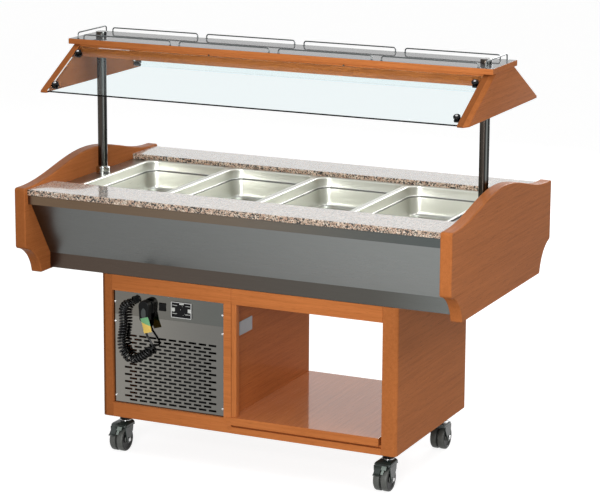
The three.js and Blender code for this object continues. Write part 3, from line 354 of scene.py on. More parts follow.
class Finish(Graph):
    """A material: its node tree, its Principled shader and the few patterns that the finishes share."""

    def __init__(self, name, colour, roughness, metallic=0.0, constants=None):
        self.material = bpy.data.materials.new(name)
        self.material.use_nodes = True
        super().__init__(self.material.node_tree)
        self.shader = self.tree.nodes["Principled BSDF"]
        self.set({"Base Color": (*colour, 1), "Roughness": roughness, "Metallic": metallic})
        self.set(constants or {})
        self.material.diffuse_color = (*colour, 1)

    def set(self, values):
        """Gives sockets of the Principled shader their values or links."""
        self.fill(self.shader, values)

    def parted(self, socket):
        """X, Y and Z of a vector."""
        split = self.node("ShaderNodeSeparateXYZ", values={"Vector": Value(self, socket)})
        return [Value(self, split.outputs[axis]) for axis in "XYZ"]

    def place(self):
        """X, Y and Z of the surface in the object's own frame, in metres."""
        return self.parted(self.node("ShaderNodeTexCoord").outputs["Object"])

    def facing(self):
        """X, Y and Z of the surface's direction."""
        return self.parted(self.node("ShaderNodeNewGeometry").outputs["Normal"])

    def vector(self, x, y, z):
        """Three values as one vector."""
        node = self.node("ShaderNodeCombineXYZ", values={"X": x, "Y": y, "Z": z})
        return Value(self, node.outputs[0])

    def noise(self, vector, scale, detail=3.0, roughness=0.5):
        """Soft cloudy noise from 0 to 1, with this many cycles in a metre."""
        node = self.node(
            "ShaderNodeTexNoise",
            values={"Vector": vector, "Scale": scale, "Detail": detail, "Roughness": roughness},
        )
        return Value(self, node.outputs["Fac"])

    def cells(self, vector, scale):
        """Three random numbers for each cell of a pattern of grains, with this many grains in a metre."""
        grains = self.node("ShaderNodeTexVoronoi", values={"Vector": vector, "Scale": scale})
        colour = Value(self, grains.outputs["Color"])
        split = self.node("ShaderNodeSeparateColor", values={"Color": colour})
        return [Value(self, output) for output in split.outputs]

    def ramp(self, factor, stops):
        """A colour read from stops of place and colour."""
        node = self.node("ShaderNodeValToRGB", {"stops": stops}, {"Fac": factor})
        return Value(self, node.outputs["Color"])

    def blend(self, factor, first, second):
        """The first colour, going over to the second as the factor rises."""
        node = self.node("ShaderNodeMix", {"data_type": "RGBA"})
        for key, value in ((0, factor), (6, first), (7, second)):
            if not isinstance(value, (Value, int, float)):
                value = (*value, 1)
            self.fill(node, {key: value})
        return Value(self, node.outputs[2])

    def bump(self, height, distance, strength):
        """Raises the surface's shading by a height times a distance in metres."""
        node = self.node(
            "ShaderNodeBump", values={"Height": height, "Distance": distance, "Strength": strength}
        )
        self.set({"Normal": Value(self, node.outputs["Normal"])})


def fill_ramp(ramp, stops):
    """Sets a colour ramp's stops from pairs of place and colour."""
    while len(ramp.elements) < len(stops):
        ramp.elements.new(0.5)
    for element, (place, colour) in zip(ramp.elements, stops):
        element.position = place
        element.color = (*colour, 1)


# ---- finishes -------------------------------------------------------------------------------------------


WOOD_PALE, WOOD_DARK = (0.62, 0.205, 0.06), (0.36, 0.105, 0.026)


def shade(colour, share):
    """A colour times a number."""
    return tuple(share * c for c in colour)


def wood(name, along, top=None, edge=0.0, top_gloss=0.2, strip=None, sheen=0.02, roughness=0.36):
    """Reddish lacquered wood: long wavering figure, fine fibres and short dark pores along one axis.

    It darkens towards the left, as painted shade. Painted shade can also make its edges darker than its
    faces, and the strip to the left of an x darker still; its top can be another colour.
    """
    finish = Finish(name, WOOD_PALE, roughness, 0.0, {"Coat Roughness": 0.06, "Specular IOR Level": 0.02})
    axes = dict(zip("xyz", finish.place()))
    x = axes["x"]
    lengthwise = axes.pop(along)
    first, second = axes.values()
    wander = finish.noise(finish.vector(first, second, lengthwise * 0.09), 6, 3)
    figure = finish.noise(finish.vector(first + wander * 0.04, second, lengthwise * 0.03), 105, 5, 0.62)
    fibres = finish.noise(finish.vector(first, second, lengthwise * 0.012), 650, 3, 0.6)
    bands = ((first + second * 0.7 + wander * 0.11) * 260).sine() * 0.5 + 0.5
    patches = finish.noise(finish.vector(first, second, lengthwise * 0.5), 3.2, 2)
    pores = finish.noise(finish.vector(first, second, lengthwise * 0.03), 900, 1, 0.5).over(0.62, 0.72)
    tone = figure * 0.5 + bands * 0.03 + fibres * 0.5 + patches * 0.26 - 0.15
    middle = tuple(0.4 * d + 0.6 * p for d, p in zip(WOOD_DARK, WOOD_PALE))
    colour = finish.ramp(tone, [(0.2, WOOD_DARK), (0.44, middle), (0.66, WOOD_PALE)])
    colour = finish.blend(pores * 0.4, colour, shade(WOOD_DARK, 0.4))
    # Painted shade: darker towards the left, where less light falls.
    leftward_shade = 1 - x.over(-0.95, 0.15)
    colour = finish.blend(leftward_shade * 0.4, colour, shade(WOOD_DARK, 0.4))
    nx, _, nz = finish.facing()
    # Painted shade: the strip left of the given x is darkened towards black.
    if strip is not None:
        beside = 1 - x.over(strip - 0.001, strip)
        colour = finish.blend(beside * 0.45, colour, (0.02, 0.006, 0.002))
    # Painted shade: faces that turn away from the X axis, the edges and ends of the boards, are darkened.
    if edge:
        edges = 1 - nx.size().over(0.5, 0.95)
        colour = finish.blend(edges * edge, colour, shade(WOOD_DARK, 0.2))
    upward = nz.over(0.9, 0.97)
    if top:
        cloud = finish.noise(finish.vector(*axes.values(), lengthwise), 9, 3)
        colour = finish.blend(upward, colour, finish.blend(cloud, shade(top, 0.8), top))
    finish.set({"Base Color": colour, "Roughness": roughness + fibres * 0.12})
    finish.set({"Coat Weight": upward * (top_gloss - sheen) + sheen})
    finish.bump(fibres * 0.5 - pores, 0.0001, 0.5)
    return finish.material


def brushed(name, colour, roughness, shades, along="x", depth=0.00004, lines=0.25):
    """Brushed stainless steel: fine scratches along one axis and a faint cloudiness over its shades.

    The shades are a function that gives the steel's colour at a place, painted reflections and shade
    included.
    """
    finish = Finish(name, colour, roughness, 1.0)
    axes = dict(zip("xyz", finish.place()))
    full = shades(finish, *axes.values())
    lengthwise = axes.pop(along)
    first, second = axes.values()
    scratches = finish.noise(finish.vector(lengthwise * 0.01, first, second), 1500, 2, 0.6)
    clouds = finish.noise(finish.vector(lengthwise * 0.4, first, second), 5, 3)
    finish.set(
        {
            "Base Color": finish.blend(scratches * lines, full, (0, 0, 0)),
            "Roughness": roughness * 0.75 + scratches * roughness * 0.35 + clouds * roughness * 0.25,
        }
    )
    if depth:
        finish.bump(scratches, depth, 0.6)
    return finish.material


def well_painted_reflections(finish, x, y, z):
    """The trough's steel: a pale deck, and painted reflections elsewhere: a brownish lip and skirt that turn
    grey towards the right, and a slope that turns paler there."""
    nz = finish.facing()[2]
    # Painted reflections: the lip, skirt and slope change colour from left to right.
    right = x.over(-0.75, 0.8)
    far = x.over(-0.1, 0.75)
    lip = finish.blend(right, (0.165, 0.11, 0.07), (0.17, 0.16, 0.14))
    lip = finish.blend(far, lip, (0.085, 0.096, 0.094))
    skirt = finish.blend(right, (0.09, 0.066, 0.052), (0.085, 0.085, 0.078))
    skirt = finish.blend(x.over(0.42, 0.76), skirt, (0.14, 0.148, 0.143))
    slope = finish.blend(right, (0.125, 0.128, 0.124), (0.24, 0.255, 0.25))
    upright = finish.blend(z.over(0.7, 0.76), skirt, lip)
    upright = finish.blend(nz.over(0.5, 0.8), upright, (0.42, 0.42, 0.405))
    return finish.blend(nz.over(-0.35, -0.2), slope, upright)


PAN_PALE = (0.71, 0.715, 0.66)


def pan_painted_shade(finish, x, y, z):
    """The pans' steel: a painted dark reflection in the crease of the ledge below the rim, and painted shade
    at the foot of the walls.
    """
    # Painted reflection along the ledge's crease, and painted shade at the foot of the walls.
    ledge = z.over(0.8459, 0.8467) * (1 - z.over(0.8503, 0.8508))
    foot = z.over(0.784, 0.786) * (1 - z.over(0.789, 0.8))
    steel = finish.blend(ledge * 0.8, PAN_PALE, (0.03, 0.03, 0.028))
    return finish.blend(foot * 0.25, steel, (0.05, 0.05, 0.046))


# The grille's slots: the right end of the lowest row, the pitch along and between rows, a slot's length,
# and the width of the painted shadow round it.
GRILLE_RIGHT, GRILLE_LOWEST_ROW = -0.1093, 0.1953
GRILLE_PITCH, GRILLE_ROW_PITCH = 0.0363, 0.0121
SLOT_LENGTH, SLOT_SHADOW = 0.0265, 0.0004


def panel_painted_reflection_and_shadow(finish, x, y, z):
    """The machine bay's sheets: the control panel is darker than the grille below it. Painted reflection
    darkens both towards the right, and painted shadow rings the grille's slots.
    """
    # Painted reflection: both sheets darken from left to right.
    right = x.over(-0.49, -0.08)
    upper = finish.blend(right, (0.145, 0.135, 0.118), (0.108, 0.112, 0.104))
    lower = finish.blend(right, (0.21, 0.2, 0.18), (0.14, 0.137, 0.127))
    # Painted shadow, near black, round each slot.
    lower = finish.blend(slot_shadows(x, z), lower, (0.002, 0.002, 0.002))
    return finish.blend(z.over(0.4806, 0.481), lower, upper)


def slot_shadows(x, z):
    """1 on each slot of the grille and a thin painted shadow round it, and 0 elsewhere.

    The height from the middle of the nearest row and the distance along it tell where the slots are, and
    every other row is shifted by half a pitch.
    """
    row = ((z - GRILLE_LOWEST_ROW) / GRILLE_ROW_PITCH + 0.5).whole()
    height = (z - GRILLE_LOWEST_ROW - row * GRILLE_ROW_PITCH).size()
    shift = (row * 0.5).fraction() * GRILLE_PITCH
    across = (GRILLE_RIGHT + SLOT_SHADOW - shift - x) / GRILLE_PITCH
    share = (SLOT_LENGTH + 2 * SLOT_SHADOW) / GRILLE_PITCH
    along = 1 - across.fraction().over(share - 0.01, share + 0.01)
    columns = (1 - across.over(8.9, 8.95)) * across.over(-0.05, 0)
    rows = (1 - row.over(18.4, 18.6)) * row.over(-0.6, -0.4)
    return along * columns * rows * (1 - height.over(0.0033, 0.0035))


def polished(name, colour, roughness):
    """Bright drawn or polished metal with faint wipe marks."""
    finish = Finish(name, colour, roughness, 1.0)
    x, y, z = finish.place()
    marks = finish.noise(finish.vector(x * 3, y * 3, z * 0.7), 60, 4, 0.65)
    finish.set(
        {
            "Base Color": finish.blend(marks, shade(colour, 0.9), colour),
            "Roughness": roughness * 0.6 + marks * roughness * 0.9,
        }
    )
    return finish.material


def drawn_tube():
    """Polished tube with painted reflections: dark and light bands that a studio leaves, along its length.

    How far a face turns from the left to the right of the photograph's view picks its band.
    """
    finish = Finish("drawn post tube", (0.1, 0.09, 0.08), 0.16, 1.0)
    x, y, z = finish.place()
    nx, ny, nz = finish.facing()
    # Painted reflections: each face's band is picked by how far it turns across the view.
    across = nx * 0.908 + ny * 0.419
    streaks = finish.noise(finish.vector(x * 900, y * 900, z * 1.5), 1, 2)
    tone = (across + streaks * 0.06) * 0.5 + 0.47
    bands = finish.ramp(
        tone,
        [
            (0.0, (0.025, 0.02, 0.018)),
            (0.12, (0.05, 0.042, 0.035)),
            (0.42, (0.055, 0.045, 0.038)),
            (0.5, (0.008, 0.008, 0.008)),
            (0.58, (0.08, 0.084, 0.08)),
            (0.68, (0.24, 0.25, 0.24)),
            (0.76, (0.03, 0.033, 0.033)),
            (1.0, (0.01, 0.01, 0.01)),
        ],
    )
    bands = finish.blend(1 - z.over(0.903, 0.908), bands, (0.42, 0.44, 0.42))
    flat = finish.blend(streaks, (0.3, 0.29, 0.28), (0.4, 0.39, 0.38))
    finish.set({"Base Color": finish.blend(nz.size().over(0.6, 0.9), bands, flat)})
    finish.set({"Roughness": streaks * 0.1 + 0.12})
    return finish.material


def granite():
    """Polished speckled stone: beige and pink grains of a few millimetres between black flecks."""
    finish = Finish("speckled granite", (0.5, 0.42, 0.34), 0.2, 0.0, {"Coat Roughness": 0.04})
    x, y, z = finish.place()
    shift = finish.noise(finish.vector(x, y, z), 70, 3)
    other = finish.noise(finish.vector(x + 3, y, z), 70, 3)
    bent = finish.vector(x + shift * 0.008, y + shift * 0.006, z + other * 0.006)
    grain = finish.cells(bent, 190)[0]
    fleck = finish.cells(bent, 430)[1]
    body = finish.ramp(
        grain,
        [
            (0.0, (0.34, 0.225, 0.15)),
            (0.25, (0.66, 0.51, 0.39)),
            (0.5, (0.5, 0.3, 0.2)),
            (0.75, (0.76, 0.66, 0.54)),
            (1.0, (0.4, 0.36, 0.31)),
        ],
    )
    dark = (0.022, 0.019, 0.017)
    colour = finish.blend(fleck.over(0.7, 0.74), body, dark)
    colour = finish.blend(grain.over(0.8, 0.83) * 0.9, colour, dark)
    # Painted sheen: upward faces are paled half way towards grey.
    upward = finish.facing()[2].over(0.9, 0.97)
    colour = finish.blend(upward * 0.5, colour, (0.6, 0.59, 0.56))
    finish.set({"Base Color": colour, "Coat Weight": upward * 0.7 + 0.1, "Roughness": shift * 0.1 + 0.12})
    return finish.material


def moulded(name, colour, roughness=0.35, grain=900, depth=0.00005, gloss=0.5):
    """Moulded plastic with a fine even texture."""
    finish = Finish(name, colour, roughness, 0.0, {"Specular IOR Level": gloss})
    x, y, z = finish.place()
    texture = finish.noise(finish.vector(x, y, z), grain, 2)
    broad = finish.noise(finish.vector(x, y, z), 25, 3)
    finish.set(
        {
            "Base Color": finish.blend(broad, shade(colour, 0.8), shade(colour, 1.15)),
            "Roughness": roughness * 0.8 + texture * roughness * 0.4,
        }
    )
    finish.bump(texture, depth, 0.4)
    return finish.material


def clear_glass():
    """Clear toughened glass with a faint green tint."""
    clear = {"Transmission Weight": 1.0, "IOR": 1.2}
    finish = Finish("clear glass", (0.87, 0.935, 0.945), 0.01, 0.0, clear)
    x, y, z = finish.place()
    smears = finish.noise(finish.vector(x, y, z), 8, 3)
    finish.set({"Roughness": smears.over(0.55, 0.9) * 0.02 + 0.005})
    return finish.material


def two_tone_tag():
    """Soft plastic film, green above and yellow below, with a slightly wavy border between them."""
    finish = Finish("green and yellow film", (0.8, 0.6, 0.1), 0.35)
    x, y, z = finish.place()
    scuffs = finish.noise(finish.vector(x, y, z), 260, 3)
    lower = 1 - (z + x * 0.3 + scuffs * 0.002).over(0.3625, 0.3645)
    yellow = finish.blend(scuffs, (0.62, 0.42, 0.08), (0.8, 0.56, 0.12))
    green = finish.blend(scuffs, (0.1, 0.3, 0.14), (0.18, 0.42, 0.2))
    finish.set({"Base Color": finish.blend(lower, green, yellow), "Roughness": scuffs * 0.2 + 0.3})
    finish.bump(scuffs, 0.0002, 0.3)
    return finish.material


WOOD_LONG = wood("wood grain lengthwise", "x")
# Painted shade darkens the cheeks' edges a little.
WOOD_CHEEK = wood("wood grain front to rear", "y", edge=0.2)
WOOD_UPRIGHT = wood("wood grain upright", "z")
WOOD_SHELF = wood("glossy shelf wood", "y", top_gloss=0.95, sheen=0.3, roughness=0.2)
WOOD_CANOPY = wood("canopy board wood", "x", top=(0.1, 0.1, 0.1), top_gloss=0.8)
# Painted shade darkens the right canopy cheek's edges strongly.
WOOD_EDGE_SHADED = wood("wood with painted shade on its edges", "y", edge=0.6)
# Painted shade: all of it left of x -0.509 is darkened, and its edges too.
WOOD_LEFT = wood("left side panel wood", "y", edge=0.22, strip=-0.509)
WELL_STEEL = brushed("brushed well steel", (0.17, 0.16, 0.15), 0.28, well_painted_reflections)
PANEL_STEEL = brushed("bright panel steel", (0.15, 0.15, 0.14), 0.07, panel_painted_reflection_and_shadow, depth=0, lines=0.1)
PAN_STEEL = brushed("pressed pan steel", PAN_PALE, 0.29, pan_painted_shade, "y", 0, 0.04)
POST_STEEL = drawn_tube()
# Painted reflection: the bright wire is given a dark colour for the dark surroundings it mirrors.
RAIL_STEEL = polished("bright wire darkened by painted reflection", (0.14, 0.15, 0.15), 0.14)
CHROME = polished("bright plating", (0.62, 0.62, 0.62), 0.12)
SATIN = polished("satin aluminium", (0.5, 0.5, 0.49), 0.3)
STONE = granite()
BLACK = moulded("black moulding", (0.005, 0.0052, 0.0052), 0.3, gloss=0.1)
CORD_BLACK = moulded("black cord sheath", (0.0015, 0.0015, 0.0017), 0.16, grain=1500, gloss=0.26)
WHEEL = moulded("grey wheel tread", (0.1, 0.104, 0.096), 0.4, grain=500, depth=0.0001, gloss=0.3)
DISC = moulded("black wheel disc", (0.005, 0.005, 0.005), 0.4, gloss=0.2)
CASTER = moulded("grey caster metal", (0.03, 0.04, 0.036), 0.22)
BRAKE = moulded("pale brake metal", (0.24, 0.29, 0.26), 0.3)
PALE_INK = moulded("pale print", (0.55, 0.56, 0.53), 0.4)
LABEL = moulded("blank label", (0.3, 0.33, 0.36), 0.35)
BLACK_PAINT = moulded("black paint", (0.02, 0.02, 0.02), 0.3)
# Painted shade: the condenser's fins are near black, for the dark bay seen through the grille.
FINS = polished("condenser fins darkened as painted shade", (0.05, 0.05, 0.052), 0.5)
GLASS = clear_glass()
# Painted sheen: a grey oval stands for the light on the plug's glossy front.
PLUG_SHEEN = moulded("grey painted sheen on the plug", (0.045, 0.052, 0.05), 0.35, gloss=0.3)
FACE_BLACK = moulded("glossy black face", (0.005, 0.005, 0.0055), 0.12, depth=0.00001, gloss=0.1)
TAG = two_tone_tag()

FINISHES = {
    "wood_long": WOOD_LONG,
    "wood_cheek": WOOD_CHEEK,
    "wood_upright": WOOD_UPRIGHT,
    "wood_shelf": WOOD_SHELF,
    "well_steel": WELL_STEEL,
    "panel_grey": PANEL_STEEL,
    "pan_steel": PAN_STEEL,
    "post_steel": POST_STEEL,
    "rail_chrome": RAIL_STEEL,
    "stone_slab": STONE,
    "black_plastic": BLACK,
    "cord_black": CORD_BLACK,
    "compressor_black": BLACK_PAINT,
    "fan_black": BLACK_PAINT,
    "condenser_aluminium": FINS,
    "caster_grey": CASTER,
    "brake_grey": BRAKE,
    "wheel_grey": WHEEL,
    "clear_glass": GLASS,
}
NODE_FINISHES = {"canopy_board": WOOD_CANOPY, "base_left_panel": WOOD_LEFT}


def finish_nodes():
    """Gives every frame node the finish of its material slot."""
    slots = {entry["node"]: entry["material_slot"] for entry in frame["record"]["subparts"]}
    for name, thing in NODES.items():
        material = NODE_FINISHES.get(name, FINISHES[slots[name]])
        for slot in thing.material_slots:
            slot.material = material


finish_nodes()


# ---- cord and plug ----------------------------------------------------------------------------------

GLAND = np.array((-0.399, -0.302, 0.536))  # middle of the gland's front
PLUG = np.array((-0.356, -0.3096, 0.449))  # middle of the lower end of the plug's neck
PLUG_TOP = 0.543
PLUG_FRONT, PLUG_BACK = -0.3216, -0.2976
PANEL_FRONT = -0.289
TO_FRONT = Matrix.Rotation(math.pi / 2, 4, "X")  # a turned profile's height then runs out to the front
CORD_WIDTH = 0.007
COIL_RADIUS = 0.011  # from the curls' middle line to the cord's
COIL_PITCH = 0.0099
CURL_GAP = 0.0012  # between two curls on the inside of a bend
CURL_STEPS = 16  # points on one curl
STEPS_LEFT_OUT = 13  # of the last curl, before the straight tail
CORD_STEP = 0.0026
EASING_PASSES = 6

# The middle line of the curls, in millimetres from the gland's front.
COIL_LINE = (
    (-4, -19, -3),
    (-23, -15, -11),
    (-40, -6, -36),
    (-40, -3, -87),
    (-48, -3, -138),
    (-41, -3, -174),
    (-14, -3, -198),
    (24, -3, -185),
    (53, -3, -163),
    (65, -3, -153),
)

# The straight tail up to the plug, in millimetres from the lower end of its neck.
TAIL_LINE = (
    (28, 0, -62),
    (30, -3, -56),
    (26, -4, -49),
    (19, -4, -38),
    (11, -3, -27),
    (4, -1, -16),
    (0, 0, -7),
    (0, 0, -0.3),
)


def smooth_line(points, steps):
    """A centripetal curve through points, and the distance run along it at each of its samples.

    Each stretch is a cubic between two points; its slope at a point comes from both neighbours, weighed by
    the square roots of their distances.
    """
    p = np.vstack([2 * points[0] - points[1], points, 2 * points[-1] - points[-2]])
    gap = np.sqrt(np.linalg.norm(np.diff(p, axis=0), axis=1))
    t = np.linspace(0, 1, steps, endpoint=False)[:, None]
    runs = []
    for i in range(1, len(p) - 2):
        a, b, c, d = p[i - 1 : i + 3]
        g, h, k = gap[i - 1 : i + 2]
        leave = ((b - a) / g - (c - a) / (g + h) + (c - b) / h) * h
        reach = ((c - b) / h - (d - b) / (h + k) + (d - c) / k) * h
        near = (2 * t**3 - 3 * t**2 + 1) * b + (t**3 - 2 * t**2 + t) * leave
        runs.append(near + (3 * t**2 - 2 * t**3) * c + (t**3 - t**2) * reach)
    line = np.vstack([*runs, p[-2:-1]])
    return line, np.concatenate([[0], np.cumsum(np.linalg.norm(np.diff(line, axis=0), axis=1))])


def read_along(where, run, values):
    """Values of a sampled line at distances along it."""
    return np.stack([np.interp(where, run, column) for column in values.T], axis=-1)


def curl_places(run, tangent):
    """Distances of the curl steps along the middle line: curls lie close, and spread a little in the bends.

    A step is a share of the pitch, or of what the curls' inside needs where the line bends, if that is more.
    """
    places = [0.0]
    while places[-1] < run[-1]:
        here, ahead = read_along([places[-1], min(places[-1] + CORD_WIDTH, run[-1])], run, tangent)
        bend = math.acos(min(1, float(np.dot(here, ahead)))) / CORD_WIDTH
        inner = 1 - min(0.7, bend * COIL_RADIUS)
        places.append(places[-1] + max(COIL_PITCH, (CORD_WIDTH + CURL_GAP) / inner) / CURL_STEPS)
    return np.array(places[:-1])


def cord_points():
    """The cord's own line: out of the gland, round the curls, then up into the plug.

    The curls are circles round the middle line, in the plane across it; the first six steps widen to the
    full radius, and the tail starts where the last steps are left out.
    """
    line, run = smooth_line(GLAND + np.array(COIL_LINE) / 1000, 80)
    tangent = np.gradient(line, run, axis=0)
    tangent /= np.linalg.norm(tangent, axis=1)[:, None]
    places = curl_places(run, tangent)
    along = read_along(places, run, tangent)
    across = np.cross(along, (0, -1, 0))
    across /= np.linalg.norm(across, axis=1)[:, None]
    out = np.cross(across, along)
    step = np.arange(len(places))
    angle = (TAU * (step / CURL_STEPS + 0.5))[:, None]
    radius = COIL_RADIUS * np.minimum(1, (step + 10) / CURL_STEPS)[:, None]
    curls = read_along(places, run, line) + radius * (np.cos(angle) * out + np.sin(angle) * across)
    start = GLAND + (0, -GAP, 0)
    tail = PLUG + np.array(TAIL_LINE) / 1000
    knots = np.vstack([start, start + (0, -CORD_WIDTH, 0), curls[:-STEPS_LEFT_OUT], tail])
    return relaxed(*smooth_line(knots, 12))


def relaxed(line, run):
    """The line at even steps, eased where it passes between its curls and its straight ends.

    Each pass moves a point half way to the middle of its neighbours, times a share that is 0 within 6 mm of
    an end of the cord, 1 from 10 mm to 130 mm, and 0 again past 160 mm.
    """
    where = np.linspace(0, run[-1], round(run[-1] / CORD_STEP) + 1)
    points = read_along(where, run, line)
    ends = np.minimum(where, run[-1] - where)
    share = np.clip(np.minimum((ends - 0.006) / 0.004, (0.16 - ends) / 0.03), 0, 1)[1:-1, None]
    for _ in range(EASING_PASSES):
        middle = 0.5 * (points[:-2] + points[2:])
        points[1:-1] += 0.5 * share * (middle - points[1:-1])
    return points


def add_cord(points, with_pieces):
    """The curled cord as a round curve through its points."""
    curve = bpy.data.curves.new("curled_cord", "CURVE")
    curve.dimensions = "3D"
    curve.bevel_depth = CORD_WIDTH / 2
    curve.bevel_resolution = 3
    curve.resolution_u = 3
    curve.use_fill_caps = True
    spline = curve.splines.new("BEZIER")
    spline.bezier_points.add(len(points) - 1)
    for knot, place in zip(spline.bezier_points, points.tolist()):
        knot.co = place
        knot.handle_left_type = knot.handle_right_type = "AUTO"
    curve.materials.append(CORD_BLACK)
    thing = bpy.data.objects.new("curled_cord", curve)
    bpy.context.scene.collection.objects.link(thing)
    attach(thing, ROOT)
    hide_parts("curly_cord")


def ribbed_neck(height, thick, thin, ribs):
    """A tapered sleeve with rings round it, as radius and height pairs from its thin low end."""
    profile = [(0, 0), (thin - 0.0008, 0)]
    for i in range(ribs):
        for share, proud in ((0.0, 0.0), (0.18, 0.0009), (0.5, 0.0009), (0.68, 0.0)):
            t = (i + share) / ribs
            profile.append((thin + (thick - thin) * t + proud, height * t))
    return [*profile, (thick, height), (0, height)]


def plug_shape():
    """The plug's body: half a circle on top, straight sides, and shoulders that slope in to the neck."""
    half, bottom = 0.0195, 0.471
    outline = [
        (-0.009, bottom),
        (0.009, bottom),
        (half - 0.003, bottom + 0.009),
        *arc((0, PLUG_TOP - half), half, 0, 180, 28),
        (0.003 - half, bottom + 0.009),
    ]
    return extruded(np.array(outline) + (PLUG[0], 0), PLUG_FRONT, PLUG_BACK, "y")


def plug_sheen_shape():
    """A grey raised oval on the plug's front: a painted sheen."""
    oval = arc((0, 0), 0.0105, 0, 360, 28)[:-1] * (0.8, 1.75)
    return placed(extruded(oval, -0.0012, 0.001, "y"), at=(PLUG[0], PLUG_FRONT, 0.5))


def pins():
    """Two round-ended plug pins."""
    pin = turned([(0, 0), (0.0024, 0), (0.0024, 0.018), (0.0016, 0.0198), (0, 0.0202)], 20)
    back = Matrix.Rotation(-math.pi / 2, 4, "X")
    return together(*(placed(pin, back, (PLUG[0] + x, PLUG_BACK, 0.517)) for x in (-0.0095, 0.0095)))


def tag_shape():
    """A thin tag below the plug that leans with the cord: its sides curl by the square of their distance
    from its middle, times a sine of the height."""
    width, height, thick = 0.029, 0.05, 0.0007
    x, z = np.meshgrid(np.linspace(-width / 2, width / 2, 9), np.linspace(0, height, 9))
    curl = 0.0096 * np.sin(3 * z / height) * (x / width) ** 2
    sheet = np.stack([x, curl, z], axis=-1)
    loop = np.concatenate([sheet, sheet[:, ::-1] + (0, thick, 0)], axis=1)
    lean = Matrix.Rotation(math.radians(-16), 4, "Y")
    return placed(surface(loop, wrap_columns=True, caps=True), lean, (-0.3395, -0.3235, 0.4395))


def add_plug():
    """The plug with its neck, painted sheen, pins and tag, returned as a list of pieces."""
    neck = placed(turned(ribbed_neck(0.0235, 0.0086, 0.0066, 5), 32), at=PLUG)
    return [
        piece("plug_body", plug_shape(), BLACK, bevel=0.003, replaces=["plug"]),
        piece("plug_neck", neck, BLACK),
        piece("plug_painted_sheen", plug_sheen_shape(), PLUG_SHEEN, bevel=0.0006),
        piece("plug_pins", pins(), CHROME),
        piece("cord_tag", tag_shape(), TAG, smooth=60),
    ]


add_cord(cord_points(), add_plug())


def gland_profile():
    """The cord's strain relief: a flange on the panel and a ribbed taper, 21 mm long, round the cord."""
    tube = [(0, -0.0137), (0.0098, -0.0137), (0.0098, -0.0002)]
    flange = [(0.0128, 0.0002), (0.0128, 0.0016), (0.012, 0.0026), (0.0096, 0.0028)]
    taper = []
    for i in range(5):
        low = 0.0031 + i * 0.0035
        high = low + 0.62 * 0.0035
        ring = 0.009 - i * 0.00075
        taper += [(ring - 0.0009, low), (ring, low + 0.0003)]
        taper += [(ring - 0.0002, high), (ring - 0.0012, high + 0.0003)]
    return [*tube, *flange, *taper, (0.0048, 0.0208), (0, 0.0208)]


sleeve = placed(turned(gland_profile(), 40), TO_FRONT, (GLAND[0], PANEL_FRONT, GLAND[2]))
piece("gland_sleeve", sleeve, BLACK, replaces=["cord_gland"])


def pan_head(radius, height):
    """A pan-head screw with a cross recess, its top towards +Z."""
    rings = [(0.0, 0.0), (1.0, 0.0), (1.0, 0.45), (0.97, 0.68), (0.88, 0.86), (0.72, 0.97), (0.55, 1.0)]
    rings += [(r, 1.0) for r in (0.46, 0.4, 0.33, 0.26, 0.2, 0.13, 0.07, 0.0)]
    points, faces = turned([(r * radius, h * height) for r, h in rings], 48)
    x, y = np.abs(points[:, 0]) / radius, np.abs(points[:, 1]) / radius
    cross = (np.minimum(x, y) < 0.1) & (np.maximum(x, y) < 0.5) & (points[:, 2] > 0.9 * height)
    points[cross, 2] -= 0.45 * height
    return points, faces


def add_screws():
    """Bright screws down both edges of the sheets, and a dark one at each fixing of the front fascia."""
    edges = (("left", -0.478, (0.522, 0.456, 0.205)), ("right", -0.086, (0.519, 0.457, 0.207)))
    for side, x, levels in edges:
        for i, z in enumerate(levels, 1):
            head = placed(pan_head(0.0038, 0.0022), TO_FRONT, (x, PANEL_FRONT, z))
            piece(f"panel_screw_{side}_{i}", head, CHROME)
    for side, x in (("left", -0.2332), ("right", 0.2423)):
        head = placed(pan_head(0.0034, 0.0016), TO_FRONT, (x, -0.095, 1.3215))
        piece(f"fascia_fixing_{side}", head, CASTER)


add_screws()


def framed(width, height, border, corner, back, front, at):
    """A flat ring with rounded corners that faces the front, between two depths.

    Its section is a list of insets and depths, and each inset gives a smaller round rectangle.
    """
    rings = [
        (0.0, back),
        (0.0, front + 0.0006),
        (0.0004, front + 0.0001),
        (0.0009, front),
        (border - 0.0008, front),
        (border - 0.0002, front + 0.0003),
        (border, front + 0.0008),
        (border, back),
    ]
    rows = []
    for inset, depth in rings:
        radius = max(corner - inset, 0.0008)
        rows.append(round_rectangle(width - 2 * inset, height - 2 * inset, radius, depth))
    points, faces = surface(np.array(rows), wrap_rows=True, wrap_columns=True)
    return np.stack([points[:, 0] + at[0], points[:, 2], points[:, 1] + at[1]], axis=-1), faces


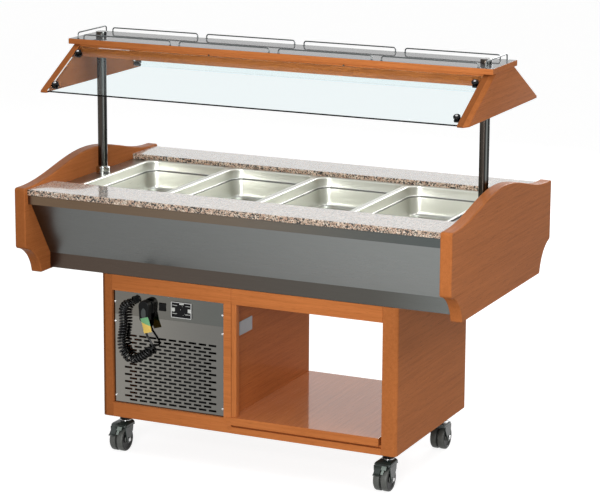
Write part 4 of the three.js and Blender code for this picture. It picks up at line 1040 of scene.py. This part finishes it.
def add_thermostat():
    """The thermostat: a bright frame round a black face with plain pale bars, spots and side buttons."""
    x, z = -0.2333, 0.5187
    half, tall = 0.037, 0.0265
    ring = framed(2 * half, 2 * tall, 0.0026, 0.003, -0.2891, -0.2943, (x, z))
    piece("thermostat_frame", ring, SATIN, replaces=["thermostat"])
    body = block((x - 0.0335, -0.286, z - 0.0235), (x + 0.0335, -0.247, z + 0.0235))
    wide, high = half - 0.0023, tall - 0.0023
    face = block((x - wide, -0.2929, z - high), (x + wide, -0.2866, z + high))
    piece("thermostat_face", together(face, body), FACE_BLACK, bevel=0.0004)
    front, back = -0.2932, -0.2926
    marks = []
    for low, high in ((-0.0325, -0.015), (0.0145, 0.0325)):
        for level in (-0.0124, 0.015):
            marks.append(block((x + low, front, z + level - 0.0008), (x + high, back, z + level + 0.0008)))
    marks.append(block((x - 0.0065, front, z + 0.0185), (x + 0.0095, back, z + 0.0232)))
    dot = turned([(0, 0), (0.0009, 0), (0.0009, 0.0005), (0, 0.0006)], 16)
    for across, level in ((0.007, -0.015), (0.0122, -0.0108), (0.0035, 0.0135), (-0.002, 0.002)):
        marks.append(placed(dot, TO_FRONT, (x + across, back, z + level)))
    piece("thermostat_marks", together(*marks), PALE_INK)
    buttons = []
    for across in (-0.0285, 0.0295):
        outline = round_rectangle(0.011, 0.0125, 0.0025, 0)[:, :2] + (x + across, z + 0.0005)
        buttons.append(extruded(outline, -0.2942, back, "y"))
    piece("thermostat_buttons", together(*buttons), PALE_INK, bevel=0.0006)


add_thermostat()


def label_plate():
    """A blank plate on the divider's face in the open bay."""
    outline = round_rectangle(0.094, 0.046, 0.003, 0)[:, :2] + (-0.194, 0.4665)
    return extruded(outline, -0.051, -0.0498, "x")


piece("blank_label", label_plate(), LABEL, bevel=0.0003)


# ---- pans -------------------------------------------------------------------------------------------

PAN_TOP = 0.8828
PAN_PITCH = 0.325


def pan_shape():
    """A pressed pan: up the outside, over the flat rim, then down past the ledge to the dished floor.

    Its section is a list of changes of size, of corner radius and of height under the rim; each one gives a
    round rectangle, and the outside follows the inside at the sheet's thickness.
    """
    wide, long, corner, thick = 0.3, 0.505, 0.042, 0.0012
    inside = [
        (0.0048, 0.003, 0.0),
        (0.0016, 0.001, -0.0008),
        (0.0003, 0.0, -0.0028),
        (0.0, 0.0, -0.006),
        (0.0, 0.0, -0.0295),
        (-0.001, -0.0005, -0.0315),
        (-0.0035, -0.002, -0.0325),
        (-0.0075, -0.004, -0.0328),
        (-0.0095, -0.005, -0.0345),
        (-0.0102, -0.0052, -0.0375),
        (-0.0152, -0.0062, -0.0805),
        (-0.0162, -0.0072, -0.0875),
        (-0.0202, -0.0097, -0.0935),
        (-0.0272, -0.0137, -0.0975),
        (-0.0372, -0.0187, -0.0993),
        (-0.0502, -0.0237, -0.0998),
        (-0.1, -0.03, -0.0999),
    ]
    rings = [(wide + a, long + a, corner + b, c) for a, b, c in inside]
    outside = [(w + 2 * thick, d + 2 * thick, r + thick, z - thick) for w, d, r, z in rings[:0:-1]]
    rim = [
        (0.3096, 0.5146, 0.0452, -0.0012),
        (0.3228, 0.5278, 0.0138, -0.0012),
        (0.3238, 0.5288, 0.0142, -0.001),
        (0.324, 0.529, 0.0143, -0.0006),
        (0.3238, 0.5288, 0.0142, -0.0002),
        (0.3228, 0.5278, 0.0138, 0.0),
    ]
    rows = [round_rectangle(w, d, r, PAN_TOP + z) for w, d, r, z in [*outside, *rim, *rings]]
    return surface(np.array(rows), wrap_columns=True, caps=True)


for i in range(4):
    piece(
        f"pressed_pan_{i + 1}",
        placed(pan_shape(), at=((i - 1.5) * PAN_PITCH, 0, 0)),
        PAN_STEEL,
        body=f"lift_pan_{i + 1}",
        smooth=50,
        replaces=[f"pan_{i + 1}"],
    )


# ---- end cheeks -------------------------------------------------------------------------------------


def cheek_outline():
    """The cheek seen from its end: flat ends, a low hump, and a hollow cove at each lower corner.

    The cove is part of a circle round a point outside the corner, the heel and the shoulder are small
    circles, and the hump is a cosine. The rear half mirrors the front one.
    """
    half, end, bottom = 0.45, 0.9033, 0.607
    cove, out, drop = 0.119, 0.022, 0.019
    heel, shoulder = 0.011, 0.008
    centre = (half + out, bottom - drop)
    foot = math.degrees(math.asin(drop / cove))
    lip = math.asin((out + heel) / cove)
    heel_level = centre[1] + cove * math.cos(lip) + heel
    right = [
        *arc(centre, cove, 180 - foot, 90 + math.degrees(lip), 28),
        *arc((half - heel, heel_level), heel, -84, 0, 8),
        *arc((half - shoulder, end - shoulder), shoulder, 0, 90, 6),
    ]
    y = np.linspace(0.425, 0, 40)
    hump = np.stack([y, end + 0.031 * (1 + np.cos(math.pi * y / 0.425))], axis=-1)
    right = np.vstack([right, hump])
    return np.vstack([right, right[-2::-1] * (-1, 1)])


for place, inner, outer in (("left", -0.755, -0.717), ("right", 0.717, 0.755)):
    piece(
        f"shaped_cheek_{place}",
        extruded(cheek_outline(), inner, outer, "x"),
        WOOD_CHEEK,
        smooth=30,
        bevel=0.0035,
        replaces=[f"cheek_{place}"],
    )


# ---- posts, rails and glass clamps ------------------------------------------------------------------

POST_X = 0.6835
CANOPY_TOP = 1.3463
CANOPY_UNDER = 1.3283


def post_shape():
    """A post with its foot below the deck, collar, flange under the canopy board and cap."""
    seat, flange, cap = 0.8783, CANOPY_UNDER - GAP, CANOPY_TOP + GAP
    lower = [(0, 0.728), (0.016, 0.728), (0.016, seat), (0.023, seat), (0.023, seat + 0.006)]
    groove = [(0.0222, seat + 0.0068), (0.0222, seat + 0.0076), (0.023, seat + 0.0084)]
    upper = [
        (0.023, seat + 0.021),
        (0.0205, seat + 0.024),
        (0.016, seat + 0.0243),
        (0.016, flange - 0.005),
        (0.018, flange - 0.004),
        (0.026, flange - 0.0035),
        (0.027, flange - 0.0025),
        (0.027, flange),
        (0.016, flange),
        (0.016, cap),
        (0.0185, cap),
        (0.0185, cap + 0.0125),
        (0.0175, cap + 0.0142),
        (0.015, cap + 0.015),
        (0, cap + 0.0152),
    ]
    return turned([*lower, *groove, *upper], 64)


def half_canopy_cheek(inset, lift):
    """Half of the canopy cheek seen from its end, its slope drawn in and its lower edge raised.

    The slope runs from the board down to the lower edge, and a small circle joins the two.
    """
    slope = math.atan2(0.13, 0.231)
    top, top_half = CANOPY_UNDER - GAP, 0.093
    bottom, corner = 1.1955 + lift, 0.004
    draw = inset / math.sin(slope)
    low = top_half + (top - bottom) / math.tan(slope) - draw
    centre = (low - corner / math.tan(slope / 2), bottom + corner)
    return np.array([*arc(centre, corner, -90, 90 - math.degrees(slope), 8), (top_half - draw, top)])


def add_canopy_cheeks():
    """Both canopy cheeks, with a wide chamfer along the outer edge of their front slope.

    Each station is a distance from the middle, what the front and the rear slope are drawn in by, and what
    the lower edge is raised by.
    """
    stations = (
        (0.711, 0.0012, 0.0012, 0.0012),
        (0.7122, 0.0, 0.0, 0.0),
        (0.731, 0.0, 0.0, 0.0),
        (0.7418, 0.0108, 0.0, 0.0),
        (0.743, 0.012, 0.0012, 0.0012),
    )
    for place, side, finish in (("left", -1, WOOD_CHEEK), ("right", 1, WOOD_EDGE_SHADED)):
        rows = []
        for x, front, rear, lift in stations:
            rear_half, front_half = half_canopy_cheek(rear, lift), half_canopy_cheek(front, lift)
            outline = np.vstack([rear_half, front_half[::-1] * (-1, 1)])
            rows.append(np.column_stack([np.full(len(outline), side * x), outline]))
        board = surface(np.array(rows), wrap_columns=True, caps=True)
        node = f"canopy_cheek_{place}"
        piece(f"chamfered_{node}", board, finish, smooth=25, replaces=[node])


add_canopy_cheeks()


def rail_shape(length, height):
    """A low wire rail along X: two legs with round bends, and a small foot plate under each."""
    wire, bend = 0.0022, 0.008
    bottom, top = CANOPY_TOP + GAP, CANOPY_TOP + height
    half = length / 2
    left = arc((-half + bend, top - bend), bend, 180, 90, 10)
    right = arc((half - bend, top - bend), bend, 90, 0, 10)
    path = np.array([(-half, bottom), *left, *right, (half, bottom)])
    rod = swept(np.insert(path, 1, 0, axis=1), wire, 14)
    foot = turned([(0, 0), (0.0042, 0), (0.0042, 0.0005), (0.0032, 0.001), (0, 0.001)], 20)
    return together(rod, *(placed(foot, at=(x, 0, bottom)) for x in (-half, half)))


def add_rails():
    """Four rails along each long edge of the canopy and a taller one across each end."""
    length, pitch, edge, end_x = 0.322, 0.3556, 0.097, 0.718
    for place, y in (("front", -edge), ("rear", edge)):
        for i in range(4):
            node = f"gallery_rail_{place}_{i + 1}"
            wire = placed(rail_shape(length, 0.014), at=((i - 1.5) * pitch, y, 0))
            piece(f"bright_{node}", wire, RAIL_STEEL, replaces=[node])
    quarter = Matrix.Rotation(math.pi / 2, 4, "Z")
    for place, x in (("left", -end_x), ("right", end_x)):
        node = f"gallery_rail_{place}"
        wire = placed(rail_shape(0.188, 0.0195), quarter, (x, 0, 0))
        piece(f"bright_{node}", wire, RAIL_STEEL, replaces=[node])


for place, x in (("left", -POST_X), ("right", POST_X)):
    shape = placed(post_shape(), at=(x, 0, 0))
    piece(f"tube_post_{place}", shape, POST_STEEL, replaces=[f"post_{place}"])
add_rails()


def add_clamps():
    """A black clamp at each corner of both panes: a knob over the glass, a screw cap in it, and a lug
    under the glass that reaches the canopy cheek. All three stand square to the pane."""
    across, fall = 0.87147, 0.49044  # how far a pane goes out and down for each metre of its slope
    pane_top = np.array((0.093, 1.328))
    edge = [(0.0108, 0), (0.0113, 0.0012), (0.0113, 0.0048), (0.0098, 0.0068), (0.0055, 0.0072)]
    knob = turned([(0, 0), *edge, (0, 0.0072)], 32)
    screw = turned([(0, 0.0065), (0.0044, 0.0065), (0.0044, 0.0082), (0.0032, 0.0092), (0, 0.0094)], 20)
    square = block((-0.009, -0.009, -0.009), (0.009, 0.009, 0))
    arm = block((-0.004, -0.007, -0.008), (0.004, 0.007, -0.001))
    for depth_side, side in (("front", -1), ("rear", 1)):
        turn = Matrix.Rotation(-side * math.atan2(fall, across), 4, "X")
        out = np.array((0, side * fall, across))
        for end_side, end in (("left", -1), ("right", 1)):
            for level, along in (("upper", 0.044), ("lower", 0.2155)):
                y, z = pane_top + np.array((across, -fall)) * along
                place = f"{depth_side}_{end_side}_{level}"
                middle = np.array((end * 0.6975, side * y, z))
                over, under = middle - out * 0.0029, middle - out * 0.0092
                piece(f"clamp_knob_{place}", placed(knob, turn, over), BLACK)
                piece(f"clamp_screw_{place}", placed(screw, turn, over), CHROME)
                lug = placed(square, turn, under)
                reach = placed(arm, turn, under + (end * 0.0097, 0, 0))
                piece(f"clamp_lug_{place}", together(lug, reach), BLACK, bevel=0.0015)


add_clamps()


# ---- base boards ------------------------------------------------------------------------------------


def add_base_boards():
    """The open bay's floor with its shadow gap, the shelf's edging and the divider's front edge."""
    rebate = [(-0.3, 0.1545), (-0.285, 0.1545), (-0.285, 0.1615)]
    board = extruded([(-0.3, 0.133), *rebate, (0.3, 0.1615), (0.3, 0.133)], -0.0507, 0.4727)
    piece("rebated_bay_floor", board, WOOD_LONG, bevel=0.0008, replaces=["bay_floor"])
    tongue = [(-0.0512, -0.3032), (-0.0512, -0.3003), (-0.068, -0.3003)]
    outline = [(-0.068, -0.3043), (0.4645, -0.3043), (0.4645, -0.3032), *tongue]
    edging = extruded(outline, 0.1622, 0.1874, "z")
    piece("shelf_edging", edging, WOOD_LONG, bevel=0.0006)
    strip = block((-0.0495, -0.2995, 0.1881), (-0.032, -0.279, 0.5607))
    piece("divider_front_edge", strip, WOOD_UPRIGHT, bevel=0.0008)


add_base_boards()

WOODEN = (
    "base_left_panel",
    "base_right_panel",
    "bay_shelf",
    "bay_top_rail_front",
    "bay_top_rail_rear",
    "machine_front_frame",
    "canopy_board",
    "fascia_front",
)
for wooden in WOODEN:
    eased_node(wooden, 0.0012)


# ---- casters ----------------------------------------------------------------------------------------

CASTER_LEFT, CASTER_RIGHT, CASTER_Y = -0.487, 0.462, 0.212
AXLE_BACK, AXLE_HEIGHT = 0.03, 0.04
LEG_INNER, LEG_OUTER = 0.0255, 0.029
PEDAL_PIVOT = np.array((-0.0533, 0.087))
TO_RIGHT = Matrix.Rotation(math.pi / 2, 4, "Y")  # a turned profile's height then runs out to the right
TO_LEFT = Matrix.Rotation(-math.pi / 2, 4, "Y")


def caster_places():
    """Name, place on the floor and turn of each caster; its wheels trail towards -Y before the turn."""
    for place in PLACES:
        x = CASTER_LEFT if "left" in place else CASTER_RIGHT
        y, turn = (-CASTER_Y, 0) if "front" in place else (CASTER_Y, math.pi)
        yield place, (x, y, 0), Matrix.Rotation(turn, 4, "Z")


def wheel_shape():
    """Twin wheels and their axle, turned about Z: radius, and distance from the middle of the axle."""
    half = [
        (0.026, 0.0),
        (0.026, 0.0036),
        (0.0385, 0.0036),
        (0.0396, 0.0044),
        (0.04, 0.006),
        (0.04, 0.019),
        (0.0392, 0.0218),
        (0.0372, 0.0236),
        (0.0345, 0.024),
        (0.031, 0.024),
        (0.0295, 0.0215),
        (0.026, 0.0205),
        (0.014, 0.0205),
        (0.0125, 0.0225),
        (0.012, 0.0245),
        (0.009, 0.0252),
        (0.005, 0.0252),
        (0.005, 0.0293),
        (0, 0.0293),
    ]
    mirrored = [(r, -h) for r, h in half[:0:-1]]
    return turned([*mirrored, *half], 64)


def disc_shape():
    """The black side discs of both wheels, as shallow dished rings."""
    side = [
        (0.0125, 0.0206),
        (0.0125, 0.0212),
        (0.0262, 0.0212),
        (0.0299, 0.0222),
        (0.0314, 0.0245),
        (0.0348, 0.0245),
        (0.0365, 0.0242),
        (0.0365, 0.0238),
        (0.0312, 0.0238),
        (0.0297, 0.0214),
        (0.0262, 0.0206),
    ]
    rings = []
    for sign in (-1, 1):
        points, _ = turned([(r, sign * h) for r, h in side], 64)
        rings.append(surface(points.reshape(len(side), 64, 3), wrap_rows=True, wrap_columns=True))
    return together(*rings)


def nut_shape():
    """A six-sided axle nut with a domed end, out along Z from the fork's outer face.

    Its radius is the half width over the cosine of the angle from the middle of the nearest flat.
    """
    angle = np.arange(24) * TAU / 24
    flats = 0.0062 / np.cos((angle + TAU / 12) % (TAU / 6) - TAU / 12)
    nut = np.outer((1.0, 1.0, 0.93), flats)
    dome = np.outer((0.0042, 0.0034), np.ones(24))
    radius = np.vstack([nut, dome])
    level = np.array((0.0293, 0.0322, 0.0329, 0.0329, 0.0336))[:, None] * np.ones(24)
    rings = np.stack([radius * np.cos(angle), radius * np.sin(angle), level], axis=-1)
    return surface(rings, wrap_columns=True, caps=True)


def hood_shape():
    """The fork's cover: round at the swivel neck, spreading to a box with round corners over the wheels.

    Each outline is a blend of a circle and the box; its share of the box is a sine, and its level falls by a
    power, of how far it is from the neck. A small lip ends it.
    """
    low, high, shoulder, shift = 0.0832, 0.0978, 0.0885, 0.0175
    box = round_rectangle(2 * LEG_OUTER, 0.066, 0.007, 0)[:, :2]
    angle = np.arctan2(box[:, 1], box[:, 0])
    ring = 0.019 * np.stack([np.cos(angle), np.sin(angle)], axis=-1)
    outward = np.sign(box)
    box = box - (0, shift)
    outlines = []
    for t in (0.0, 0.04, 0.12, 0.25, 0.4, 0.55, 0.7, 0.82, 0.9, 0.96, 1.0):
        spread = math.sin(t * math.pi / 2) ** 0.9
        outlines.append((ring * (1 - spread) + box * spread, high - (high - shoulder) * t**1.6))
    for proud, level in ((0.0, 0.0872), (0.0, 0.0845), (0.0006, 0.0838), (0.0006, low + 0.0006), (0.0, low)):
        outlines.append((box + outward * proud, level))
    rows = [np.column_stack([outline, np.full(len(box), level)]) for outline, level in outlines]
    return surface(np.array(rows), wrap_columns=True, caps=True)


def leg_shape(inner, outer):
    """A fork leg: wide under the hood, and narrowing to a round foot at the axle."""
    outline = [
        (-0.0503, 0.0846),
        (-0.0503, 0.0765),
        (-0.0485, 0.067),
        *arc((-AXLE_BACK, AXLE_HEIGHT), 0.0115, 188, 352, 14),
        (-0.006, 0.06),
        (-0.0015, 0.068),
        (0.0005, 0.076),
        (0.0005, 0.0846),
    ]
    return extruded(outline, inner, outer)


def neck_shape():
    """The swivel neck: a plate under the base, a dust groove and the bearing cup."""
    return turned(
        [
            (0, 0.0965),
            (0.0172, 0.0965),
            (0.0185, 0.0985),
            (0.0185, 0.112),
            (0.0176, 0.1135),
            (0.0158, 0.114),
            (0.0158, 0.1165),
            (0.0182, 0.1175),
            (0.0182, 0.1205),
            (0.0158, 0.122),
            (0.0155, 0.1285),
            (0.0182, 0.1295),
            (0.0185, 0.1302),
            (0.0185, 0.1327),
            (0, 0.1327),
        ],
        48,
    )


def ball_ring():
    """A bright ring round the foot of the neck."""
    return turned([(0.0178, 0.0982), (0.0202, 0.0982), (0.0202, 0.1), (0.0194, 0.1008), (0.0178, 0.1008)], 48)


def pedal_shape(left, right, top, bottom, thick, crown, lift=0.0):
    """A strip of the brake pedal between two shares of its slope.

    It is arched across by a parabola, and past 0.72 of the slope it curls up by the square of the share.
    """
    run = np.array((-0.025, -0.028))
    out = np.array((-0.746, 0.666))
    share = np.linspace(top, bottom, 14)[:, None]
    x = np.linspace(left, right, 13)
    curl = 0.0035 * np.maximum(0, (share - 0.72) / 0.28) ** 2
    bow = crown * (1 - ((2 * x - left - right) / (right - left)) ** 2)
    faces = []
    for side in (1, -1):
        off = side * thick / 2 + lift + curl + bow
        y, z = (PEDAL_PIVOT[i] + run[i] * share + out[i] * off for i in (0, 1))
        faces.append(np.stack([np.broadcast_to(x, off.shape), y, z], axis=-1))
    outer, inner = faces
    return surface(np.concatenate([outer, inner[:, ::-1]], axis=1), wrap_columns=True, caps=True)


def pedal_parts():
    """The pedal with its pivot pin and grip ribs."""
    pin = turned([(0, -0.02), (0.003, -0.02), (0.003, 0.02), (0, 0.02)], 24)
    plate = pedal_shape(-0.02, 0.0005, 0.0, 1.0, 0.0036, 0.0006)
    stub = pedal_shape(0.0005, 0.02, 0.0, 0.42, 0.0036, 0.0006)
    ribs = [pedal_shape(-0.018, -0.0015, s, s + 0.05, 0.001, 0.0006, 0.0021) for s in (0.68, 0.79, 0.9)]
    return together(placed(pin, TO_RIGHT, (0, *PEDAL_PIVOT)), plate, stub, *ribs)


def pedal_tab():
    """The pale tab over the pedal's short side, with its narrow tongue."""
    tab = pedal_shape(0.0025, 0.0185, 0.06, 0.4, 0.0018, 0.0004, 0.0034)
    tongue = pedal_shape(0.0045, 0.0125, 0.36, 0.8, 0.0022, 0.0003, 0.0012)
    return together(tab, tongue)


def add_casters():
    """Four casters: wheels, discs and nuts roll, hood, neck and ring swivel, and the front pedals swing."""
    axle = (0, -AXLE_BACK, AXLE_HEIGHT)
    wheels = placed(wheel_shape(), TO_RIGHT, axle)
    discs = placed(disc_shape(), TO_RIGHT, axle)
    nuts = together(placed(nut_shape(), TO_RIGHT, axle), placed(nut_shape(), TO_LEFT, axle))
    legs = together(hood_shape(), leg_shape(LEG_INNER, LEG_OUTER), leg_shape(-LEG_OUTER, -LEG_INNER))
    shapes = (wheels, discs, nuts, legs, neck_shape(), ball_ring(), pedal_parts(), pedal_tab())
    for place, at, turn in caster_places():
        swivel, rolling, brake = (f"{kind}_{place}" for kind in ("swivel", "wheels", "brake"))
        wheel, disc, nut, fork, neck, ring, pedal, tab = (placed(part, turn, at) for part in shapes)
        node = f"caster_wheels_{place}"
        piece(f"twin_wheels_{place}", wheel, WHEEL, rolling, replaces=[node])
        piece(f"wheel_discs_{place}", disc, DISC, rolling)
        piece(f"axle_nuts_{place}", nut, CHROME, rolling, smooth=20)
        piece(
            f"hooded_fork_{place}",
            fork,
            CASTER,
            swivel,
            smooth=40,
            bevel=0.0007,
            replaces=[f"caster_fork_{place}"],
        )
        piece(f"swivel_neck_{place}", neck, BLACK, swivel)
        piece(f"ball_ring_{place}", ring, CHROME, swivel)
        if "front" in place:
            node = f"caster_brake_{place}"
            piece(f"brake_pedal_{place}", pedal, CASTER, brake, replaces=[node])
            piece(f"brake_tab_{place}", tab, BRAKE, brake, bevel=0.0004)


add_casters()


# ---- room -----------------------------------------------------------------------------------------------


def lamp(name, place, size, power):
    """A soft rectangular lamp that faces the middle of the object."""
    light = bpy.data.lights.new(name, "AREA")
    light.shape = "RECTANGLE"
    light.size, light.size_y = size
    light.energy = power
    thing = bpy.data.objects.new(name, light)
    bpy.context.scene.collection.objects.link(thing)
    thing.location = place
    thing.rotation_euler = (Vector((0, 0, 0.8)) - Vector(place)).to_track_quat("-Z", "Y").to_euler()


def add_world():
    """A surround that looks white and lights the object at a lower level."""
    level = 0.28
    world = bpy.data.worlds.new("white room")
    bpy.context.scene.world = world
    world.use_nodes = True
    graph = Graph(world.node_tree)
    strength = graph.seen_directly() * (1 - level) + level
    graph.fill(graph.tree.nodes["Background"], {"Color": (1, 1, 1, 1), "Strength": strength})


def add_floor():
    """A wide floor that looks white where it is lit, and throws little light back up."""
    glow = {"Emission Strength": 1.0, "Specular IOR Level": 0.1}
    floor = Finish("pale floor", (0.6, 0.6, 0.6), 0.8, 0.0, glow)
    x, y, z = floor.place()
    mottle = floor.noise(floor.vector(x, y, z), 3, 3)
    seen = floor.seen_directly()
    pale = floor.blend(mottle, (0.44, 0.44, 0.437), (0.47, 0.47, 0.467))
    floor.set({"Base Color": floor.blend(seen, (0.26, 0.26, 0.255), pale)})
    floor.set({"Emission Color": floor.blend(seen, (0, 0, 0), (0.82, 0.82, 0.82))})
    reach = 14
    mesh = bpy.data.meshes.new("floor")
    corners = [(-reach, -reach, 0), (reach, -reach, 0), (reach, reach, 0), (-reach, reach, 0)]
    mesh.from_pydata(corners, [], [(0, 1, 2, 3)])
    mesh.materials.append(floor.material)
    ground = bpy.data.objects.new("floor", mesh)
    bpy.context.scene.collection.objects.link(ground)


def room():
    """A pale floor, a white surround and four soft lamps."""
    add_world()
    add_floor()
    lamp("front", (1.15, -4.1, 1.5), (1.7, 1.7), 118)
    lamp("side", (3.6, -1.5, 3.3), (1.6, 1.6), 40)
    lamp("top", (0.5, -0.5, 4.3), (2.4, 1.6), 38)
    lamp("back", (0.3, 4.8, 2.4), (1.8, 1.8), 105)
    bpy.context.scene.view_settings.view_transform = "Standard"


room()
